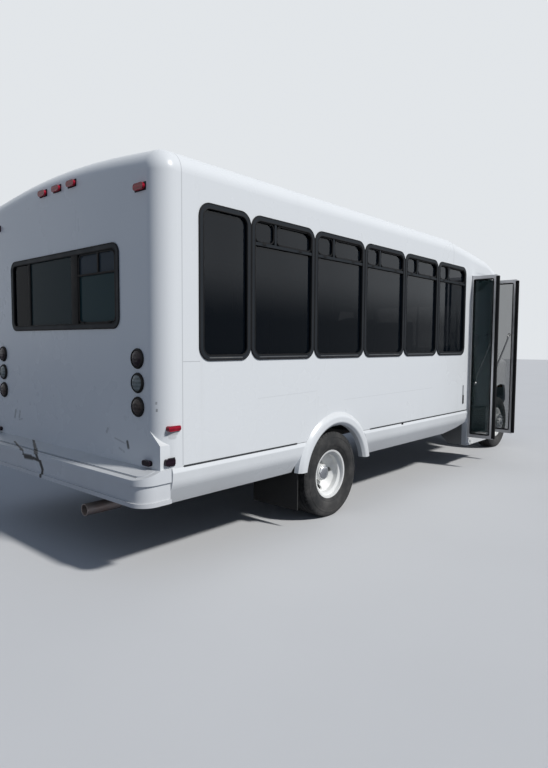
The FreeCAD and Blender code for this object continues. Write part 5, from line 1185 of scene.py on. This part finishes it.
def linings():
    """A pale headlining with seams, side linings below the windows and three ceiling lights."""
    cover = Parts()
    shape = [(y * 0.958, z - 0.052) for y, z in arch_profile() if z > 2.50]
    rings = []
    for x in [-3.425] + [-3.30 + i * 0.655 for i in range(7)]:
        rings.append([(x, y, z) for y, z in shape])
        rings.append([(x + 0.012, y, z - 0.004) for y, z in shape])
    cover.rings(rings, closed=False)
    below = ((1.176, 0.79), (1.168, 0.80), (1.168, 1.36), (1.178, 1.372))
    for side in (1, -1):
        cover.rings([[(x, side * y, z) for y, z in below] for x in (-3.40, 1.10)], closed=False)
    cover.make("linings", "lining", "bus", "dash_grey", flat_angle=50)
    lights = Parts()
    for x in (-2.6, -1.3, 0.0):
        lights.block((x - 0.28, -0.075, 2.742), (x + 0.28, 0.075, 2.762), 0.010)
    lights.make("ceiling_lights", "lamp", "bus", "lens_clear")


def cab_details():
    """Gauges under their hood, the wheel's pad and stalks, vents, the shift lever and the pedals."""
    dark = Parts()
    arch = [(0.170 * math.cos(math.pi * i / 12), 0.115 * math.sin(math.pi * i / 12)) for i in range(13)]
    rings = []
    for x, grow in ((2.372, 1.0), (2.360, 0.97), (2.372, 0.90), (2.410, 0.88)):
        rings.append([(x, 0.500 + a * grow, 1.285 + b * grow) for a, b in arch])
    back = [(2.520, 0.500 + a * 0.9, 1.300 + b * 0.55) for a, b in arch]
    dark.rings([back] + rings, closed=False)
    for y in (-0.72, -0.30, 0.10, 0.86):
        dark.block((2.352, y - 0.065, 1.205), (2.372, y + 0.065, 1.265), 0.006)
        for i in range(4):
            dark.block((2.347, y - 0.058, 1.213 + i * 0.013), (2.356, y + 0.058, 1.217 + i * 0.013), 0.001)
    dark.block((2.345, -0.13, 1.110), (2.372, 0.07, 1.190), 0.005)
    for y in (0.36, 0.45, 0.56):
        dark.block((2.470, y - 0.030, 0.880), (2.485, y + 0.030, 0.960), 0.004)
        dark.tube([(2.480, y, 0.940), (2.560, y, 1.000)], 0.008, 8)
    dark.tube(smooth_line([(2.335, 0.53, 1.250), (2.315, 0.62, 1.262), (2.290, 0.68, 1.272)]), 0.007, 8)
    dark.tube(smooth_line([(2.335, 0.47, 1.250), (2.315, 0.38, 1.262), (2.290, 0.33, 1.272)]), 0.007, 8)
    dark.tube(smooth_line([(2.150, -0.06, 1.030), (2.130, -0.05, 1.110), (2.090, -0.03, 1.190)]), 0.008, 8)
    dark.spun([(0.0005, -0.028), (0.016, -0.022), (0.022, 0.0), (0.016, 0.022), (0.0005, 0.028)],
              (2.085, -0.028, 1.200), "z", 16)
    dark.make("dash_details", "mirror", "bus", "dash_grey")
    pad = Parts()
    pad.spun([(0.0005, 0.0), (0.078, 0.0), (0.082, 0.010), (0.070, 0.028), (0.0005, 0.036)],
             (0, 0, 0), "z", 32)
    pad.turned(Matrix.Translation((2.2805, 0.5, 1.290)) @ Matrix.Rotation(math.radians(-58), 4, "Y"))
    pad.make("wheel_pad", "dash", "bus", "dash_grey")
    gauges = Parts()
    for y, radius in ((0.430, 0.046), (0.560, 0.046), (0.500, 0.024)):
        z = 1.335 if radius > 0.03 else 1.300
        gauges.spun([(0.0005, 0.0), (radius, 0.0), (radius + 0.002, 0.003), (radius + 0.004, 0.0)],
                    (2.404, y, z), "x", 32)
    gauges.make("gauges", "pale", "bus", "dash_grey")


linings()
cab_details()


# Seats

def baked(work):
    """The mesh of an object with its modifiers in it."""
    graph = bpy.context.evaluated_depsgraph_get()
    return bpy.data.meshes.new_from_object(work.evaluated_get(graph), depsgraph=graph)


def swelled(low, high, voxel, cap):
    """The points and faces of a soft block, remeshed and blown up a little by cloth pressure."""
    block = Parts().block(low, high, 0.030)
    mesh = bpy.data.meshes.new("pad_form")
    mesh.from_pydata([tuple(v) for v in block.vertices], [], block.faces)
    work = bpy.data.objects.new("pad_form", mesh)
    bpy.context.scene.collection.objects.link(work)
    remesh = work.modifiers.new("remesh", "REMESH")
    remesh.mode = "VOXEL"
    remesh.voxel_size = voxel
    work.data = baked(work)
    work.modifiers.clear()
    start = [v.co.copy() for v in work.data.vertices]
    ends = start
    cloth = work.modifiers.new("cloth", "CLOTH")
    cloth.settings.quality = 4
    cloth.settings.use_pressure = True
    cloth.settings.uniform_pressure_force = 4
    cloth.settings.effector_weights.gravity = 0
    for number in range(1, 21):
        bpy.context.scene.frame_set(number)
    ends = [v.co.copy() for v in baked(work).vertices]
    bpy.context.scene.frame_set(1)
    points = []
    for first, last in zip(start, ends):
        move = last - first
        if move.length > cap:
            move *= cap / move.length
        points.append(first + move)
    faces = [list(polygon.vertices) for polygon in work.data.polygons]
    bpy.data.objects.remove(work)
    return points, faces


def dent(value, at, reach):
    """How deep a sewn channel is drawn in at a place: 1 on its line, 0 beyond its reach."""
    share = min(abs(value - at) / reach, 1.0)
    return (1 - share) ** 2 * (1 + 2 * share)


def passenger_pads():
    """Double seats: one cushion and one back are blown up once, sewn, and set out along both sides."""
    cushion, cushion_faces = swelled((0.112, 0.274, 1.122), (0.428, 1.146, 1.207), 0.0135, 0.013)
    back, back_faces = swelled((0.010, 0.274, 1.124), (0.082, 1.146, 1.748), 0.0135, 0.013)
    for point in cushion:
        top = (point.z - 1.12) / 0.10
        channel = max(dent(point.y, 0.710, 0.030) * 2.2, dent(point.x, 0.215, 0.018),
                      dent(point.x, 0.335, 0.018))
        point.z -= 0.010 * channel * max(0.0, top)
        point.z = min(max(point.z, 1.1106), 1.2198)
    for point in back:
        front = (point.x - 0.01) / 0.085
        channel = max(dent(point.y, 0.710, 0.030) * 2.2, dent(point.z, 1.330, 0.020),
                      dent(point.z, 1.560, 0.020))
        point.x -= 0.009 * channel * max(0.0, front)
        point.x = min(max(point.x, 0.0006), 0.0948)
    welts = Parts()
    grips = Parts()
    for side, count in ((1, 6), (-1, 5)):
        for row in range(count):
            x = FIRST_ROW + ROW_PITCH * row
            label = f"{row}_{'left' if side > 0 else 'right'}"
            for kind, points, faces in (("cushion", cushion, cushion_faces), ("back", back, back_faces)):
                placed = [Vector((x + p.x, side * p.y, p.z)) for p in points]
                turned = faces if side > 0 else [face[::-1] for face in faces]
                piece(f"seat_{kind}_{label}", placed, turned, "cloth", "bus", "seat_cloth",
                                replaces=["seat_pads"], flat_angle=180)
            for half in (0.490, 0.930):
                outline = eased_rectangle((half - 0.205, half + 0.205), (x + 0.125, x + 0.425), 0.05,
                                          lambda a, b: Vector((b, side * a, 1.2085)), 5)
                line = [point for point, _, _ in outline]
                welts.tube(line + line[:1], 0.0038, 6)
            grips.tube(smooth_line([(x - 0.010, side * 0.285, 1.735), (x - 0.012, side * 0.285, 1.772),
                                    (x - 0.012, side * 0.330, 1.790), (x - 0.012, side * 0.480, 1.790),
                                    (x - 0.012, side * 0.525, 1.772), (x - 0.010, side * 0.525, 1.735)], 5),
                       0.011, 8)
            welts.block((x + 0.090, side * 0.710 - 0.024, 1.205),
                        (x + 0.130, side * 0.710 + 0.024, 1.226), 0.006)
    welts.make("seat_welts", "mirror", "bus", "seat_cloth")
    grips.make("seat_grips", "mirror", "bus", "seat_metal")


def driver_pads():
    """The driver's seat: a sewn cushion and a tall back, both drawn in at the sides."""
    x = DRIVER_SEAT
    for kind, low, high in (("cushion", (x + 0.102, 0.284, 1.104), (x + 0.488, 0.726, 1.198)),
                            ("back", (x - 0.018, 0.284, 1.104), (x + 0.073, 0.726, 1.748))):
        points, faces = swelled(low, high, 0.009, 0.013)
        for point in points:
            if kind == "cushion":
                channel = max(dent(point.y, 0.385, 0.022), dent(point.y, 0.625, 0.022),
                              dent(point.x, x + 0.40, 0.02))
                point.z -= 0.008 * channel * max(0.0, (point.z - 1.13) / 0.07)
                point.z = min(max(point.z, 1.0906), 1.2098)
            else:
                channel = max(dent(point.y, 0.385, 0.022), dent(point.y, 0.625, 0.022),
                              dent(point.z, 1.60, 0.02), dent(point.z, 1.38, 0.02))
                point.x -= 0.008 * channel * max(0.0, (point.x - x) / 0.07)
        piece(f"driver_{kind}", points, faces, "cloth", "bus", "seat_cloth",
                        replaces=["seat_pads"], flat_angle=180)


passenger_pads()
driver_pads()


# Underneath

def underbody():
    """U-bolts, plates and clips on the springs, dampers, flap bars, tank straps, filler hose, hangers."""
    iron = Parts()
    for side in (1, -1):
        y = side * SPRING_LINE
        for x in (REAR_AXLE - 0.065, REAR_AXLE + 0.065):
            iron.tube([(x, y + across, z) for across, z in
                       ((-0.044, 0.315), (-0.044, 0.520), (-0.030, 0.548),
                        (0.030, 0.548), (0.044, 0.520), (0.044, 0.315))], 0.0075, 8)
        iron.block((REAR_AXLE - 0.095, y - 0.056, 0.308), (REAR_AXLE + 0.095, y + 0.056, 0.322), 0.004)
        iron.tube([(REAR_AXLE + 0.135, side * 0.600, 0.330),
                   (REAR_AXLE + 0.215, side * 0.585, 0.480)], 0.026, 14)
        iron.tube([(REAR_AXLE + 0.205, side * 0.587, 0.462),
                   (REAR_AXLE + 0.300, side * 0.570, 0.640)], 0.031, 14)
        for x in (-2.02, -1.22):
            at = touch("leaf_springs", (x, y, 0.2), (0, 0, 1))
            iron.block(at + Vector((-0.018, -0.046, -0.006)), at + Vector((0.018, 0.046, 0.004)), 0.002)
            for edge in (-0.044, 0.044):
                iron.block(at + Vector((-0.018, edge - 0.003, -0.006)),
                           at + Vector((0.018, edge + 0.003, 0.052)), 0.002)
        iron.block((-2.094, side * 0.935 - 0.24, 0.560), (-2.078, side * 0.935 + 0.24, 0.598), 0.003)
    iron.make("spring_irons", "iron", "bus", "spring_steel")
    straps = Parts()
    for x in (-0.50, 0.05):
        def across(a, b):
            return Vector((x, a, b))
        straps.strip(eased_rectangle((0.462, 0.998), (0.392, 0.688), 0.060, across),
                     [(0.0, -0.022), (0.0, 0.022), (0.0034, 0.021), (0.0034, -0.021)])
        straps.tube([(x, 1.001, 0.560), (x, 1.006, 0.600), (x, 1.001, 0.640)], 0.008, 8)
    straps.spun([(0.0005, 0.0), (0.055, 0.0), (0.055, 0.012), (0.020, 0.016), (0.0005, 0.016)],
                (0.2495, 0.72, 0.55), "x", 24)
    filler = [(-0.39, 0.90, 0.685), (-0.39, 0.96, 0.74), (-0.39, 1.05, 0.90), (-0.39, 1.16, 1.00)]
    straps.tube(smooth_line(filler), 0.028, 12)
    straps.make("tank_straps", "exhaust", "bus", "tank_black")
    hangers = Parts()
    for x in (-2.30, -1.05, 0.08, 0.92, 1.60):
        hangers.tube([(x, -0.310, 0.470), (x, -0.310, 0.690)], 0.006, 8)
        hangers.block((x - 0.012, -0.340, 0.470), (x + 0.012, -0.280, 0.500), 0.004)
    hangers.make("pipe_hangers", "iron", "bus", "exhaust_steel")


underbody()


# Studio

def studio():
    """A pale floor that keeps the shadow, a high key light from the right, cool fill, pale backdrop."""
    reach = 60
    shade = Shade("studio_floor", Roughness=0.9)
    cloud = shade.noise(0.8, 3)
    pale = shade.mix(cloud.between(0.3, 0.8) * 0.25, (0.62, 0.63, 0.64), (0.56, 0.57, 0.58))
    seen = shade.node("ShaderNodeLightPath", output="Is Camera Ray")
    shade.set(Base_Color=shade.mix(seen, (0.20, 0.21, 0.23), pale))
    mesh = bpy.data.meshes.new("studio_floor")
    corners = [(-reach, -reach, 0), (reach, -reach, 0), (reach, reach, 0), (-reach, reach, 0)]
    mesh.from_pydata(corners, [], [(0, 1, 2, 3)])
    mesh.materials.append(shade.material)
    floor = bpy.data.objects.new("studio_floor", mesh)
    bpy.context.scene.collection.objects.link(floor)

    world = bpy.data.worlds.new("studio")
    bpy.context.scene.world = world
    sky = Nodes(world)
    sky.tree.nodes.remove(sky.tree.nodes["Background"])
    fill = sky.node("ShaderNodeBackground", None, {"Color": (0.55, 0.70, 0.98), "Strength": 0.24})
    backdrop = sky.node("ShaderNodeBackground", None, {"Color": (0.80, 0.83, 0.86), "Strength": 0.95})
    direct, glossy, through = (sky.node("ShaderNodeLightPath", output=f"Is {kind} Ray")
                               for kind in ("Camera", "Glossy", "Transmission"))
    chosen = sky.node("ShaderNodeMixShader", None,
                      {0: direct.most(glossy).most(through), 1: fill, 2: backdrop})
    sky.feed(sky.tree.nodes["World Output"].inputs["Surface"], chosen)

    key = bpy.data.lights.new("key_light", "SUN")
    key.energy = 3.0
    key.angle = math.radians(5)
    key.color = (1.0, 0.98, 0.955)
    lamp = bpy.data.objects.new("key_light", key)
    lamp.rotation_euler = Vector((0.14, -0.70, 0.70)).to_track_quat("Z", "Y").to_euler()
    bpy.context.scene.collection.objects.link(lamp)


def camera():
    """The photograph's point of view."""
    yaw, pitch, roll = math.radians(41.44), math.radians(-3.98), math.radians(0.335)
    ahead = Vector((math.cos(pitch) * math.cos(yaw), math.cos(pitch) * math.sin(yaw), math.sin(pitch)))
    right = Vector((math.sin(yaw), -math.cos(yaw), 0))
    up = right.cross(ahead)
    across = right * math.cos(roll) + up * math.sin(roll)
    lift = up * math.cos(roll) - right * math.sin(roll)
    data = bpy.data.cameras.new("camera")
    film, long_side, focal_pixels = 36, 768, 570.25
    data.sensor_width = film
    data.lens = focal_pixels * film / long_side
    data.shift_x = -1 / long_side
    data.clip_end = 300
    view = bpy.data.objects.new("camera", data)
    view.matrix_world = Matrix((across, lift, -ahead)).transposed().to_4x4()
    view.location = (-5.630, -4.055, 1.500)
    bpy.context.scene.collection.objects.link(view)
    bpy.context.scene.camera = view


studio()
camera()
bpy.context.scene.view_settings.view_transform = "Standard"
